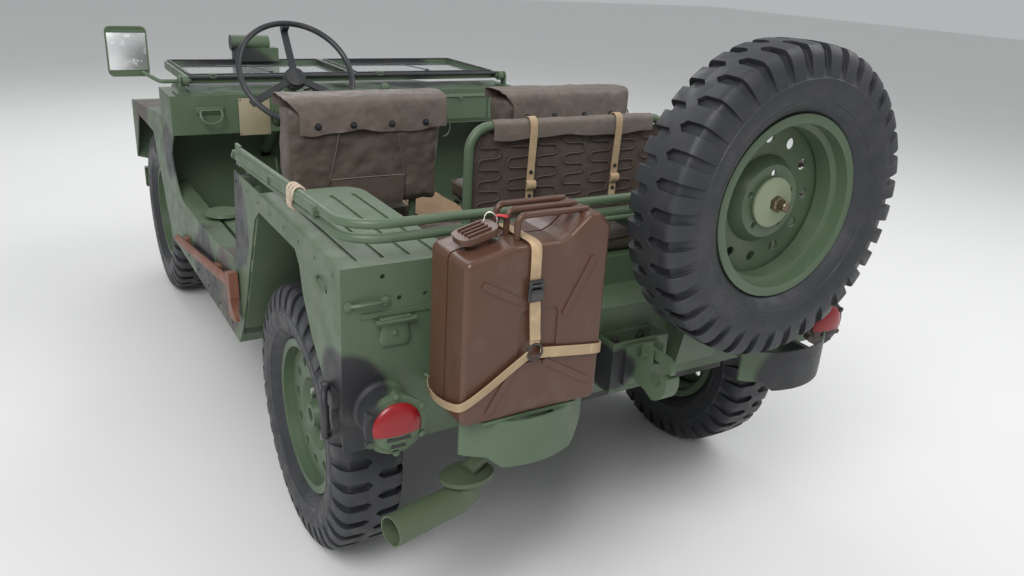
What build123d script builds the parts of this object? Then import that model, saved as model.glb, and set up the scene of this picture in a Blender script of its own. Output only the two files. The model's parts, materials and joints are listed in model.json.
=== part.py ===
# An open quarter-ton 4x4 field car with a unitised steel body, in millimetres.
# The car faces -Y, +X is its left, +Z is up. The origin is on the ground, on the
# centre plane, midway between the axles. Every y is a distance behind that point.
from build123d import *
from math import cos, sin, radians
import os

os.makedirs("parts", exist_ok=True)

# Driving dimensions of the chassis
wheelbase = 2159
track = 1346
front_overhang = 475
tyre_radius = 380
tyre_width = 188
rim_seat_radius = 206
rim_flange_radius = 222
rim_width = 114
lug_circle = 140
lug_count = 5
lug_hole_radius = 8
spindle_radius = 20
kingpin_inset = 83
kingpin_radius = 12
drum_radius = 135
running_gap = 0.05
clearance = 6

# Driving dimensions of the body
body_half_width = 789
sheet = 5
rail_top = 990
sill_bottom = 400
door_sill_height = 650
floor_height = 480
rear_floor_height = 600
tail_height = 785
tail_bottom = 540
wheelhouse_inner_x = 508
wheelhouse_foot_height = 480
dash_height = 1045
dash_bottom = 891
fender_rear_height = 930
fender_front_height = 850
apron_x = 385
rail_inner_x = 305
rail_depth = 75
bonnet_half_width = 596
bonnet_rear_height = dash_height - 15
bonnet_nose_height = fender_front_height + 75

# Stations along the car, behind the middle of the wheelbase
front_axle = -wheelbase / 2
rear_axle = wheelbase / 2
nose = front_axle - front_overhang
bumper_depth = 36
grille_y = nose + bumper_depth
firewall_y = -610
dash_y = -370
b_post_y = 642
wheelhouse_foot_y = 640
wheelhouse_front_y = 912
tail_y = 1550
wheel_x = track / 2
skin_x = body_half_width - sheet
floor_front_y = firewall_y - sheet

UP = Vector(0, 0, 1)
sides = {"left": 1, "right": -1}


def side_plane(x):
    """A plane across the car at x: its x runs to the rear and its y runs up."""
    return Plane(origin=(x, 0, 0), x_dir=(0, 1, 0), z_dir=(1, 0, 0))


def cross_plane(y):
    """A plane along the car at y: its x runs to the left, its y up, its z forwards."""
    return Plane(origin=(0, y, 0), x_dir=(1, 0, 0), z_dir=(0, -1, 0))


# Front seats' places and sizes
seat_tube = 13
seat_half_width = 248
seat_frame_half = 184
seat_front_y = 110
seat_back_y = 545
seat_height = 690
cushion_thickness = 90
back_thickness = 125
back_bottom = 800
seat_slot = 1
seat_top = 1185
seat_centres = {"driver": 350, "passenger": -410}
seat_pin_height = floor_height + 26
seat_pin_radius = 6
seat_eye_radius = 16
seat_eye_width = 22
seat_lug_thickness = 5

# Floor pan: two levels of floor, the heel step between them and the centre tunnel
tunnel_half_width = 150
tunnel_height = 150
heel_y = 600
floor_under = floor_height - sheet
rear_floor_under = rear_floor_height - sheet
wheelhouse_slope = (wheelhouse_front_y - wheelhouse_foot_y) / (rail_top - wheelhouse_foot_height)
wheelhouse_step_y = wheelhouse_foot_y + wheelhouse_slope * (rear_floor_under - wheelhouse_foot_height)
wheelhouse_corner = 60
with BuildPart() as floor_pan:
    with BuildSketch(side_plane(-skin_x)):
        with BuildLine():
            Polyline(
                (firewall_y, floor_height),
                (heel_y, floor_height),
                (heel_y, rear_floor_height),
                (tail_y - sheet, rear_floor_height),
                (tail_y - sheet, rear_floor_under),
                (heel_y + sheet, rear_floor_under),
                (heel_y + sheet, floor_under),
                (firewall_y, floor_under),
                close=True,
            )
        make_face()
    extrude(amount=2 * skin_x)
    with BuildSketch(cross_plane(firewall_y)):
        with Locations((0, floor_under + tunnel_height / 2)):
            Rectangle(2 * tunnel_half_width, tunnel_height)
    extrude(amount=firewall_y - heel_y)
    with BuildSketch(cross_plane(firewall_y)):
        with Locations((0, floor_under + (tunnel_height - sheet) / 2)):
            Rectangle(2 * (tunnel_half_width - sheet), tunnel_height - sheet)
    extrude(amount=firewall_y - heel_y - sheet, mode=Mode.SUBTRACT)
    # The wheel wells are cut out of the rear floor, and the sills take the floor's edges.
    sill_inner_x = 714
    for side in sides.values():
        with BuildSketch(Plane.XY.offset(floor_under - sheet)):
            with Locations((side * (wheelhouse_inner_x + wheel_x), (wheelhouse_step_y + 2 * tail_y) / 2)):
                RectangleRounded(2 * wheel_x, 2 * tail_y - wheelhouse_step_y, wheelhouse_corner - 2)
            with Locations((side * (sill_inner_x + skin_x) / 2, heel_y - tail_y)):
                Rectangle(skin_x - sill_inner_x, 2 * tail_y)
        extrude(amount=rear_floor_height, mode=Mode.SUBTRACT)
    # Lugs and pins for the front feet of the seats
    for seat_x in seat_centres.values():
        for edge in (-1, 1):
            lug_x = seat_x + edge * (seat_frame_half - seat_eye_width / 2 - clearance)
            with BuildSketch(side_plane(lug_x)):
                with Locations((seat_front_y, (floor_height + seat_pin_height) / 2)):
                    Rectangle(2 * seat_eye_radius, seat_pin_height - floor_height)
                with Locations((seat_front_y, seat_pin_height)):
                    Circle(seat_eye_radius)
            extrude(amount=-edge * seat_lug_thickness)
            with BuildSketch(side_plane(lug_x)):
                with Locations((seat_front_y, seat_pin_height)):
                    Circle(seat_pin_radius)
            extrude(amount=edge * (seat_eye_width + 2 * clearance))
floor_pan.part.label = "floor_pan"
export_step(floor_pan.part, "parts/floor_pan.step")

# Underframe: two box rails that rise behind the seats, joined by cross-members
rail_bottom = floor_under - rail_depth
rear_rail_bottom = rear_floor_under - rail_depth
rail_front_y = grille_y
rail_rear_y = tail_y - sheet
gearbox_half_width = 120
gearbox_bottom = 425
mount_bar_y = 190
mount_bar_size = 80
mount_bar_depth = 40
with BuildPart() as underframe:
    for side in sides.values():
        with BuildSketch(side_plane(side * rail_inner_x)):
            with BuildLine():
                Polyline(
                    (rail_front_y, rail_bottom),
                    (heel_y - 40, rail_bottom),
                    (heel_y + 120, rear_rail_bottom),
                    (rail_rear_y, rear_rail_bottom),
                    (rail_rear_y, rear_floor_under),
                    (heel_y + sheet, rear_floor_under),
                    (heel_y + sheet, floor_under),
                    (rail_front_y, floor_under),
                    close=True,
                )
            make_face()
        extrude(amount=side * (apron_x - rail_inner_x))
    with Locations((0, mount_bar_y, gearbox_bottom - mount_bar_depth / 2)):
        Box(2 * apron_x, mount_bar_size, mount_bar_depth)
    with Locations((0, rail_rear_y - 30, (rear_rail_bottom + rear_floor_under) / 2)):
        Box(2 * rail_inner_x, 60, rail_depth)
underframe.part.label = "underframe"
export_step(underframe.part, "parts/underframe.step")

# Steering column line, from the hub of the steering wheel down to the firewall
steering_hub = (370, -120, 1140)
column_slope = 38
column_radius = 22
column_direction = Vector(0, -cos(radians(column_slope)), -sin(radians(column_slope)))
column_plane = Plane(origin=steering_hub, x_dir=(1, 0, 0), z_dir=column_direction)
column_length = (steering_hub[1] - firewall_y) / cos(radians(column_slope))

# Cowl: dash panel, cowl top and firewall in one, with the ears of the windshield hinge
hinge_y = -425
hinge_height = dash_height + 50
windshield_half_width = 712
ear_x = windshield_half_width + 23
ear_thickness = 8
ear_radius = 20
hinge_pin_radius = 8
hinge_pin_length = 40
with BuildPart() as cowl:
    with BuildSketch(side_plane(-skin_x)):
        with BuildLine():
            Polyline(
                (dash_y, dash_bottom),
                (dash_y, dash_height),
                (firewall_y - sheet, dash_height),
                (firewall_y - sheet, floor_under),
                (firewall_y, floor_under),
                (firewall_y, dash_height - sheet),
                (dash_y - sheet, dash_height - sheet),
                (dash_y - sheet, dash_bottom),
                close=True,
            )
        make_face()
    extrude(amount=2 * skin_x)
    with BuildSketch(cross_plane(firewall_y)):
        with Locations((0, floor_under + (tunnel_height - sheet) / 2)):
            Rectangle(2 * (tunnel_half_width - sheet), tunnel_height - sheet)
    extrude(amount=sheet, mode=Mode.SUBTRACT)
    # The sills run past the lower corners of the firewall.
    for side in sides.values():
        with BuildSketch(cross_plane(firewall_y)):
            with Locations((side * (sill_inner_x + skin_x) / 2, (floor_under + door_sill_height) / 2)):
                Rectangle(skin_x - sill_inner_x, door_sill_height - floor_under)
        extrude(amount=sheet, mode=Mode.SUBTRACT)
    with BuildSketch(column_plane):
        Circle(column_radius + clearance)
    extrude(amount=column_length + 4 * sheet, mode=Mode.SUBTRACT)
    for side in sides.values():
        with BuildSketch(side_plane(side * ear_x)):
            with Locations((hinge_y, hinge_height)):
                Circle(ear_radius)
            with Locations((hinge_y, (hinge_height + dash_height) / 2)):
                Rectangle(2 * ear_radius, hinge_height - dash_height)
        extrude(amount=side * ear_thickness)
        with BuildSketch(side_plane(side * ear_x)):
            with Locations((hinge_y, hinge_height)):
                Circle(hinge_pin_radius)
        extrude(amount=-side * hinge_pin_length)
        with Locations((side * (ear_x + ear_thickness / 2), hinge_y, dash_height + 4)):
            Box(44, 90, 8)
cowl.part.label = "cowl"
export_step(cowl.part, "parts/cowl.step")

# Wheelhouses: the open boxes over the rear wheels, rounded at their front inner corners
wall_run = sheet + 1
space_foot = wheelhouse_foot_height - 6 * sheet
wheelhouses = {}
for name, side in sides.items():
    with BuildPart() as wheel_space:
        with BuildSketch(side_plane(side * (wheelhouse_inner_x + sheet))):
            with BuildLine():
                Polyline(
                    (wheelhouse_foot_y + wall_run - 6 * sheet * wheelhouse_slope, space_foot),
                    (wheelhouse_front_y + wall_run - sheet * wheelhouse_slope, rail_top - sheet),
                    (tail_y, rail_top - sheet),
                    (tail_y, space_foot),
                    close=True,
                )
            make_face()
        extrude(amount=side * (skin_x - wheelhouse_inner_x))
        front_corner = wheel_space.edges().sort_by_distance(
            (side * (wheelhouse_inner_x + sheet), (wheelhouse_foot_y + wheelhouse_front_y) / 2,
             (space_foot + rail_top) / 2))[0]
        fillet(front_corner, wheelhouse_corner - sheet)
    with BuildPart() as wheelhouse:
        with BuildSketch(side_plane(side * wheelhouse_inner_x)):
            with BuildLine():
                Polyline(
                    (wheelhouse_foot_y, wheelhouse_foot_height),
                    (wheelhouse_front_y, rail_top),
                    (tail_y - sheet, rail_top),
                    (tail_y - sheet, tail_bottom),
                    (1440, 540),
                    (1300, wheelhouse_foot_height),
                    close=True,
                )
            make_face()
        extrude(amount=side * (skin_x - wheelhouse_inner_x))
        front_corner = wheelhouse.edges().sort_by_distance(
            (side * wheelhouse_inner_x, (wheelhouse_foot_y + wheelhouse_front_y) / 2,
             (wheelhouse_foot_height + rail_top) / 2))[0]
        fillet(front_corner, wheelhouse_corner)
        add(wheel_space.part, mode=Mode.SUBTRACT)
    wheelhouses[name] = wheelhouse.part

# Body sides: sill, cowl side, tapering post and rear quarter in one skin each
arch_top = 935
groove_pitch = 62
groove_count = 4
groove_width = 12
sill_front_y = floor_front_y - 2
with BuildPart() as body_sides:
    for side in sides.values():
        with BuildSketch(side_plane(side * skin_x)):
            with BuildLine():
                Polyline(
                    (sill_front_y, sill_bottom),
                    (570, sill_bottom),
                    (640, 490),
                    (855, 900),
                    (905, arch_top),
                    (1230, arch_top),
                    (1262, 905),
                    (1285, 835),
                    (1345, 750),
                    (1440, 660),
                    (tail_y - sheet, 560),
                    (tail_y - sheet, rail_top),
                    (b_post_y, rail_top),
                    (601, 720),
                    (560, 686),
                    (94, door_sill_height),
                    (-230, door_sill_height),
                )
                RadiusArc((-230, door_sill_height), (-440, 800), 190)
                Polyline(
                    (-440, 800),
                    (dash_y, dash_bottom),
                    (dash_y, dash_height),
                    (sill_front_y, dash_height),
                    (sill_front_y, sill_bottom),
                )
            make_face()
        extrude(amount=side * sheet)
        # The sill is a box section behind the skin.
        with BuildSketch(side_plane(side * sill_inner_x)):
            with BuildLine():
                Polyline(
                    (sill_front_y, sill_bottom),
                    (570, sill_bottom),
                    (600, 440),
                    (600, door_sill_height),
                    (sill_front_y, door_sill_height),
                    close=True,
                )
            make_face()
        extrude(amount=side * (skin_x - sill_inner_x))
    # Wheelhouses: the boxes over the rear wheels, grooved on top
    for name, side in sides.items():
        add(wheelhouses[name])
        groove_length = tail_y - wheelhouse_front_y - 120
        groove_y = (wheelhouse_front_y + tail_y) / 2 + 20
        with BuildSketch(Plane.XY.offset(rail_top - 2 * sheet)):
            with Locations((side * (wheelhouse_inner_x + skin_x) / 2, groove_y)):
                with GridLocations(groove_pitch, 0, groove_count, 1):
                    SlotOverall(groove_length + 2 * sheet, groove_width + 2 * sheet, rotation=90)
        extrude(amount=sheet)
        with BuildSketch(Plane.XY.offset(rail_top - sheet)):
            with Locations((side * (wheelhouse_inner_x + skin_x) / 2, groove_y)):
                with GridLocations(groove_pitch, 0, groove_count, 1):
                    SlotOverall(groove_length, groove_width, rotation=90)
        extrude(amount=sheet, mode=Mode.SUBTRACT)
body_sides.part.label = "body_sides"
export_step(body_sides.part, "parts/body_sides.step")

# Rear panel: high corners, low middle
bead_height = rail_top - 115
panel_hole_radius = 6
panel_holes = [(693, 962), (653, 907), (590, 908), (557, 965), (554, 851)]
with BuildPart() as rear_panel:
    with BuildSketch(cross_plane(tail_y)):
        with BuildLine():
            Polyline(
                (-body_half_width, tail_bottom),
                (body_half_width, tail_bottom),
                (body_half_width, rail_top),
                (wheelhouse_inner_x, rail_top),
                (wheelhouse_inner_x, tail_height),
                (-wheelhouse_inner_x, tail_height),
                (-wheelhouse_inner_x, rail_top),
                (-body_half_width, rail_top),
                close=True,
            )
        make_face()
    extrude(amount=sheet)
    # A bead and five plain holes on each high corner
    for side in sides.values():
        with Locations((side * (wheelhouse_inner_x + skin_x) / 2, tail_y, bead_height)):
            Box(skin_x - wheelhouse_inner_x - 80, 6, 12)
        with BuildSketch(cross_plane(tail_y + 1)):
            with Locations(*[(side * x, z) for x, z in panel_holes]):
                Circle(panel_hole_radius)
        extrude(amount=2 * sheet, mode=Mode.SUBTRACT)
rear_panel.part.label = "rear_panel"
export_step(rear_panel.part, "parts/rear_panel.step")

# Front fenders: sloping top, outer wall with the arch, and the apron of the engine bay
fender_rear_y = sill_front_y
fender_front_y = grille_y + sheet
apron_bottom = 440
arm_window_length = 330
arm_window_height = 100
with BuildPart() as front_fenders:
    for side in sides.values():
        with BuildSketch(side_plane(side * apron_x)):
            with BuildLine():
                Polyline(
                    (fender_rear_y, fender_rear_height),
                    (fender_front_y, fender_front_height),
                    (fender_front_y, fender_front_height - sheet),
                    (fender_rear_y, fender_rear_height - sheet),
                    close=True,
                )
            make_face()
        extrude(amount=side * (body_half_width - apron_x))
        with BuildSketch(side_plane(side * skin_x)):
            with BuildLine():
                Polyline(
                    (fender_rear_y, fender_rear_height),
                    (fender_front_y, fender_front_height),
                    (fender_front_y, 560),
                    (-1310, 800),
                    (-1285, 812),
                    (-890, 812),
                    (-870, 795),
                    (fender_rear_y, 410),
                    close=True,
                )
            make_face()
        extrude(amount=side * sheet)
        with BuildSketch(side_plane(side * apron_x)):
            with BuildLine():
                Polyline(
                    (fender_rear_y, fender_rear_height),
                    (fender_front_y, fender_front_height),
                    (fender_front_y, apron_bottom),
                    (fender_rear_y, apron_bottom),
                    close=True,
                )
            make_face()
            with Locations((front_axle, apron_bottom + arm_window_height / 2)):
                Rectangle(arm_window_length, arm_window_height, mode=Mode.SUBTRACT)
        extrude(amount=side * sheet)
front_fenders.part.label = "front_fenders"
export_step(front_fenders.part, "parts/front_fenders.step")

# Grille panel: horizontal slots between two round headlamp holes
headlamp_x = 490
headlamp_height = 720
headlamp_radius = 88
marker_x = 690
marker_radius = 70
marker_depth = 26
slot_height = 26
slot_pitch = 42
slot_count = 6
slot_half_length = 360
with BuildPart() as grille_panel:
    with BuildSketch(cross_plane(grille_y + sheet)):
        with BuildLine():
            Polyline(
                (-body_half_width, 560),
                (-600, 505),
                (600, 505),
                (body_half_width, 560),
                (body_half_width, fender_front_height),
                (-body_half_width, fender_front_height),
                close=True,
            )
        make_face()
        with Locations((0, headlamp_height)):
            with GridLocations(0, slot_pitch, 1, slot_count):
                SlotOverall(2 * slot_half_length, slot_height, mode=Mode.SUBTRACT)
        with Locations((-headlamp_x, headlamp_height), (headlamp_x, headlamp_height)):
            Circle(headlamp_radius, mode=Mode.SUBTRACT)
    extrude(amount=sheet)
grille_panel.part.label = "grille_panel"
export_step(grille_panel.part, "parts/grille_panel.step")

# Bonnet: a wide shallow lid with rounded edges, open below, on the fender tops
bonnet_round = 30
bonnet_brow = 40
with BuildPart() as engine_space:
    with BuildSketch(side_plane(sheet - bonnet_half_width)):
        with BuildLine():
            Polyline(
                (fender_rear_y + sheet, fender_rear_height - 2 * sheet),
                (fender_rear_y + sheet, bonnet_rear_height - sheet),
                (fender_front_y + bonnet_brow, bonnet_nose_height + bonnet_brow / 2 - sheet),
                (grille_y + sheet, bonnet_nose_height - bonnet_brow / 2 - sheet),
                (grille_y + sheet, fender_front_height - 2 * sheet),
                close=True,
            )
        make_face()
    extrude(amount=2 * (bonnet_half_width - sheet))
    top = engine_space.faces().sort_by(SortBy.AREA)[-2:].sort_by(Axis.Z)[-1]
    fillet(top.edges().filter_by(Axis.X, reverse=True), bonnet_round - sheet)

with BuildPart() as bonnet:
    with BuildSketch(side_plane(-bonnet_half_width)):
        with BuildLine():
            Polyline(
                (fender_rear_y, fender_rear_height),
                (fender_rear_y, bonnet_rear_height),
                (fender_front_y + bonnet_brow, bonnet_nose_height + bonnet_brow / 2),
                (grille_y, bonnet_nose_height - bonnet_brow / 2),
                (grille_y, fender_front_height + 0.5),
                (fender_front_y, fender_front_height),
                close=True,
            )
        make_face()
    extrude(amount=2 * bonnet_half_width)
    top = bonnet.faces().sort_by(SortBy.AREA)[-2:].sort_by(Axis.Z)[-1]
    fillet(top.edges().filter_by(Axis.X, reverse=True), bonnet_round)
    add(engine_space.part, mode=Mode.SUBTRACT)
bonnet.part.label = "bonnet"
export_step(bonnet.part, "parts/bonnet.step")

# Front bumper: an open-backed channel with swept ends
bumper_bottom = 400
bumper_height = 100
bumper_straight = 620
bumper_half_width = 760
bumper_sweep = 20
with BuildPart() as front_bumper:
    with BuildSketch(Plane.XY.offset(bumper_bottom)):
        with BuildLine():
            Polyline(
                (-bumper_half_width, nose + bumper_sweep),
                (-bumper_straight, nose),
                (bumper_straight, nose),
                (bumper_half_width, nose + bumper_sweep),
                (bumper_half_width, nose + bumper_sweep + bumper_depth),
                (bumper_straight, nose + bumper_depth),
                (-bumper_straight, nose + bumper_depth),
                (-bumper_half_width, nose + bumper_sweep + bumper_depth),
                close=True,
            )
        make_face()
    extrude(amount=bumper_height)
    with BuildSketch(Plane.XY.offset(bumper_bottom + sheet)):
        with BuildLine():
            Polyline(
                (-bumper_half_width - 1, nose + bumper_sweep + sheet),
                (-bumper_straight, nose + sheet),
                (bumper_straight, nose + sheet),
                (bumper_half_width + 1, nose + bumper_sweep + sheet),
                (bumper_half_width + 1, nose + bumper_sweep + 2 * bumper_depth),
                (-bumper_half_width - 1, nose + bumper_sweep + 2 * bumper_depth),
                close=True,
            )
        make_face()
    extrude(amount=bumper_height - 2 * sheet, mode=Mode.SUBTRACT)
    # Two blocks seat the channel on the rails.
    for side in sides.values():
        with Locations((side * (rail_inner_x + apron_x) / 2, nose + bumper_depth / 2, bumper_bottom + rail_depth / 2)):
            Box(60, bumper_depth, rail_depth)
front_bumper.part.label = "front_bumper"
export_step(front_bumper.part, "parts/front_bumper.step")

# Front lamps: headlamps through the grille panel, and a marker lamp beside each
with BuildPart() as front_lamps:
    for side in sides.values():
        lamp_centre = (side * headlamp_x, grille_y, headlamp_height)
        with BuildSketch(Plane(origin=lamp_centre, x_dir=(0, -1, 0), z_dir=(1, 0, 0))):
            with BuildLine():
                Polyline(
                    (24, 0), (-80, 0), (-80, 30), (-40, headlamp_radius - 2), (0, headlamp_radius - 2),
                    (0, headlamp_radius + 12), (10, headlamp_radius + 12), (14, headlamp_radius - 8),
                    (20, headlamp_radius - 40), (24, 20), close=True,
                )
            make_face()
        revolve(axis=Axis(lamp_centre, (0, -1, 0)))
        with BuildSketch(cross_plane(grille_y)):
            with Locations((side * marker_x, headlamp_height)):
                Circle(marker_radius)
        extrude(amount=marker_depth)
front_lamps.part.label = "front_lamps"
export_step(front_lamps.part, "parts/front_lamps.step")


# Windshield, folded forward over the bonnet: frame with a middle bar, and its two panes
frame_bar = 30
frame_height = 500
lug_thickness = 24
lug_inner_x = ear_x - clearance - lug_thickness
pane_thickness = 6
base_y = hinge_y - ear_radius - clearance
with BuildPart() as windshield_frame:
    with BuildSketch(Plane.XY.offset(hinge_height - frame_bar / 2)):
        with Locations((0, base_y - frame_height / 2)):
            RectangleRounded(2 * windshield_half_width, frame_height, 40)
            with GridLocations(windshield_half_width - frame_bar / 2, 0, 2, 1):
                Rectangle(windshield_half_width - 1.5 * frame_bar, frame_height - 2 * frame_bar, mode=Mode.SUBTRACT)
    extrude(amount=frame_bar)
    for side in sides.values():
        with BuildSketch(side_plane(side * lug_inner_x)):
            with Locations((hinge_y, hinge_height)):
                Circle(ear_radius)
            with Locations((hinge_y - ear_radius, hinge_height)):
                Rectangle(2 * ear_radius + 2 * clearance, frame_bar)
            with Locations((hinge_y, hinge_height)):
                Circle(hinge_pin_radius + running_gap, mode=Mode.SUBTRACT)
        extrude(amount=side * lug_thickness)
    # The wiper motor stands on the top bar, in front of the driver.
    with Locations((310, base_y - frame_height + frame_bar, hinge_height + frame_bar / 2 + 30)):
        Box(200, 60, 60)
    with BuildSketch(side_plane(250)):
        with Locations((base_y - frame_height + frame_bar, hinge_height + frame_bar / 2 + 80)):
            Circle(35)
    extrude(amount=170)
windshield_frame.part.label = "windshield_frame"
export_step(windshield_frame.part, "parts/windshield_frame.step")

with BuildPart() as windshield_glass:
    with BuildSketch(Plane.XY.offset(hinge_height - pane_thickness / 2)):
        with Locations((0, base_y - frame_height / 2)):
            with GridLocations(windshield_half_width - frame_bar / 2, 0, 2, 1):
                Rectangle(windshield_half_width - 1.5 * frame_bar, frame_height - 2 * frame_bar)
    extrude(amount=pane_thickness)
windshield_glass.part.label = "windshield_glass"
export_step(windshield_glass.part, "parts/windshield_glass.step")

# Front seats: a tube frame on pinned front feet, a cushion and a back
for seat_name, seat_x in seat_centres.items():
    with BuildPart() as seat_frame:
        for edge in (-1, 1):
            x = seat_x + edge * seat_frame_half
            with BuildLine(side_plane(x)) as rail_line:
                FilletPolyline(
                    (seat_front_y, seat_pin_height),
                    (seat_front_y, seat_height - seat_tube),
                    (seat_back_y - 20, seat_height - seat_tube),
                    (seat_back_y + 15, seat_top - 30),
                    radius=40,
                )
            with BuildSketch(Plane(origin=rail_line.line @ 0, z_dir=rail_line.line % 0)):
                Circle(seat_tube)
            sweep(path=rail_line.line)
            with BuildSketch(Plane.XY.offset(floor_height + clearance)):
                with Locations((x, seat_back_y - 60)):
                    Circle(seat_tube)
            extrude(amount=seat_height - floor_height - seat_tube - clearance - 4)
            with BuildSketch(side_plane(x - seat_eye_width / 2)):
                with Locations((seat_front_y, seat_pin_height)):
                    Circle(seat_eye_radius)
            extrude(amount=seat_eye_width)
            with BuildSketch(side_plane(x - seat_eye_width)):
                with Locations((seat_front_y, seat_pin_height)):
                    Circle(seat_pin_radius + running_gap)
            extrude(amount=2 * seat_eye_width, mode=Mode.SUBTRACT)
        for y, z in ((seat_front_y + 60, seat_height - seat_tube), (seat_back_y - 60, seat_height - seat_tube),
                     (seat_back_y + 8, seat_top - 60)):
            with BuildSketch(side_plane(seat_x - seat_frame_half)):
                with Locations((y, z)):
                    Circle(seat_tube - 3)
            extrude(amount=2 * seat_frame_half)
    seat_frame.part.label = f"{seat_name}_seat_frame"
    export_step(seat_frame.part, f"parts/{seat_name}_seat_frame.step")

    # The back is a padded cover drawn over the frame, so the tubes run in its slots.
    with BuildPart() as seat_back:
        with BuildSketch(side_plane(seat_x - seat_half_width - 37)):
            with BuildLine():
                Polyline(
                    (seat_back_y + 35 - back_thickness, back_bottom),
                    (seat_back_y + 55 - back_thickness, seat_top),
                    (seat_back_y + 55, seat_top),
                    (seat_back_y + 35, back_bottom),
                    close=True,
                )
            make_face()
        extrude(amount=2 * seat_half_width + 74)
        fillet(seat_back.edges().filter_by(Axis.X), 35)
        for edge in (-1, 1):
            x = seat_x + edge * seat_frame_half
            with BuildLine(side_plane(x)) as slot_line:
                Line((seat_back_y - 20, seat_height - seat_tube), (seat_back_y + 16, seat_top - 16))
            with BuildSketch(Plane(origin=slot_line.line @ 0, z_dir=slot_line.line % 0)):
                Circle(seat_tube + 2 * seat_slot)
            sweep(path=slot_line.line, mode=Mode.SUBTRACT)
        with BuildSketch(side_plane(seat_x - seat_frame_half)):
            with Locations((seat_back_y + 8, seat_top - 60)):
                Circle(seat_tube - 3 + 2 * seat_slot)
        extrude(amount=2 * seat_frame_half, mode=Mode.SUBTRACT)

    with BuildPart() as seat_pads:
        with Locations((seat_x, (seat_front_y + seat_back_y) / 2 - 40, seat_height + cushion_thickness / 2 + 1)):
            Box(2 * seat_half_width, seat_back_y - seat_front_y - 100, cushion_thickness)
        fillet(seat_pads.edges().filter_by(Axis.Z), 50)
        fillet(seat_pads.edges().group_by(Axis.Z)[-1], 25)
        add(seat_back.part)
    seat_pads.part.label = f"{seat_name}_seat_pads"
    export_step(seat_pads.part, f"parts/{seat_name}_seat_pads.step")

# Fuel tank: between the driver's seat legs and beside them, with its filler lid by the sill
tank_bottom = floor_height
tank_top = floor_height + 140
filler_x = 640
lid_x = 690
filler_y = -20
filler_top = door_sill_height - 2
with BuildPart() as fuel_tank:
    with Locations((seat_centres["driver"], (seat_front_y + seat_back_y) / 2 - 20, (tank_bottom + tank_top) / 2)):
        Box(2 * (seat_frame_half - seat_tube - clearance), 330, tank_top - tank_bottom)
    with Locations((seat_centres["driver"] + seat_frame_half, (seat_front_y + seat_back_y) / 2 - 30, tank_bottom + 40)):
        Box(120, 180, 80)
    with Locations((filler_x, filler_y + 150, (tank_bottom + filler_top) / 2)):
        Box(120, 450, filler_top - tank_bottom)
    fillet(fuel_tank.edges().filter_by(Axis.Z), 12)
    with BuildSketch(Plane.XY.offset(filler_top)):
        with Locations((filler_x + 20, filler_y)):
            Circle(45)
    extrude(amount=12)
    with BuildSketch(Plane.XY.offset(filler_top + 12)):
        with Locations((lid_x, filler_y)):
            Circle(66)
    extrude(amount=12, taper=20)
fuel_tank.part.label = "fuel_tank"
export_step(fuel_tank.part, "parts/fuel_tank.step")

# Rear bench: cushion on a pan, and a tube backrest that folds forward
bench_left_x = 245
bench_right_x = -500
bench_front_y = 650
bench_rear_y = 1025
bench_seat_height = 700
backrest_y = 1060
backrest_pivot_height = 802
backrest_top = 1185
backrest_tube = 14
pivot_radius = 8
post_inset = 38
post_depth = 36
post_thickness = 8
post_top = backrest_pivot_height + 16
bench_middle_x = (bench_left_x + bench_right_x) / 2
bench_width = bench_left_x - bench_right_x
with BuildPart() as bench_frame:
    with Locations((bench_middle_x, (bench_front_y + bench_rear_y) / 2, (rear_floor_height + bench_seat_height) / 2)):
        Box(bench_width - 60, bench_rear_y - bench_front_y, bench_seat_height - rear_floor_height)
    for x in (bench_left_x - post_inset, bench_right_x + post_inset):
        with Locations((x, backrest_y, (rear_floor_height + post_top) / 2)):
            Box(post_thickness, post_depth, post_top - rear_floor_height)
    for x, outward in ((bench_left_x - post_inset, 1), (bench_right_x + post_inset, -1)):
        with BuildSketch(side_plane(x)):
            with Locations((backrest_y, backrest_pivot_height)):
                Circle(pivot_radius)
        extrude(amount=outward * 36)
bench_frame.part.label = "bench_frame"
export_step(bench_frame.part, "parts/bench_frame.step")

with BuildPart() as bench_cushion:
    with Locations((bench_middle_x, (bench_front_y + bench_rear_y) / 2 - 10, bench_seat_height + 40)):
        Box(bench_width, bench_rear_y - bench_front_y - 20, 78)
bench_cushion.part.label = "bench_cushion"
export_step(bench_cushion.part, "parts/bench_cushion.step")

with BuildPart() as backrest_frame:
    with BuildLine(cross_plane(backrest_y)) as hoop:
        FilletPolyline(
            (bench_left_x - backrest_tube, backrest_pivot_height),
            (bench_left_x - backrest_tube, backrest_top - backrest_tube),
            (bench_right_x + backrest_tube, backrest_top - backrest_tube),
            (bench_right_x + backrest_tube, backrest_pivot_height),
            radius=70,
        )
    with BuildSketch(Plane(origin=hoop.line @ 0, z_dir=hoop.line % 0)):
        Circle(backrest_tube)
    sweep(path=hoop.line)
    with BuildSketch(side_plane(bench_right_x + backrest_tube)):
        with Locations((backrest_y, backrest_pivot_height + 50)):
            Circle(backrest_tube - 2)
    extrude(amount=bench_width - 2 * backrest_tube)
    for x in (bench_left_x - backrest_tube, bench_right_x + backrest_tube):
        with Locations((x, backrest_y, backrest_pivot_height)):
            Box(20, 34, 40)
    for x in (bench_left_x - backrest_tube, bench_right_x + backrest_tube):
        with BuildSketch(side_plane(x - 20)):
            with Locations((backrest_y, backrest_pivot_height)):
                Circle(pivot_radius + running_gap)
        extrude(amount=40, mode=Mode.SUBTRACT)
backrest_frame.part.label = "backrest_frame"
export_step(backrest_frame.part, "parts/backrest_frame.step")

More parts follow.
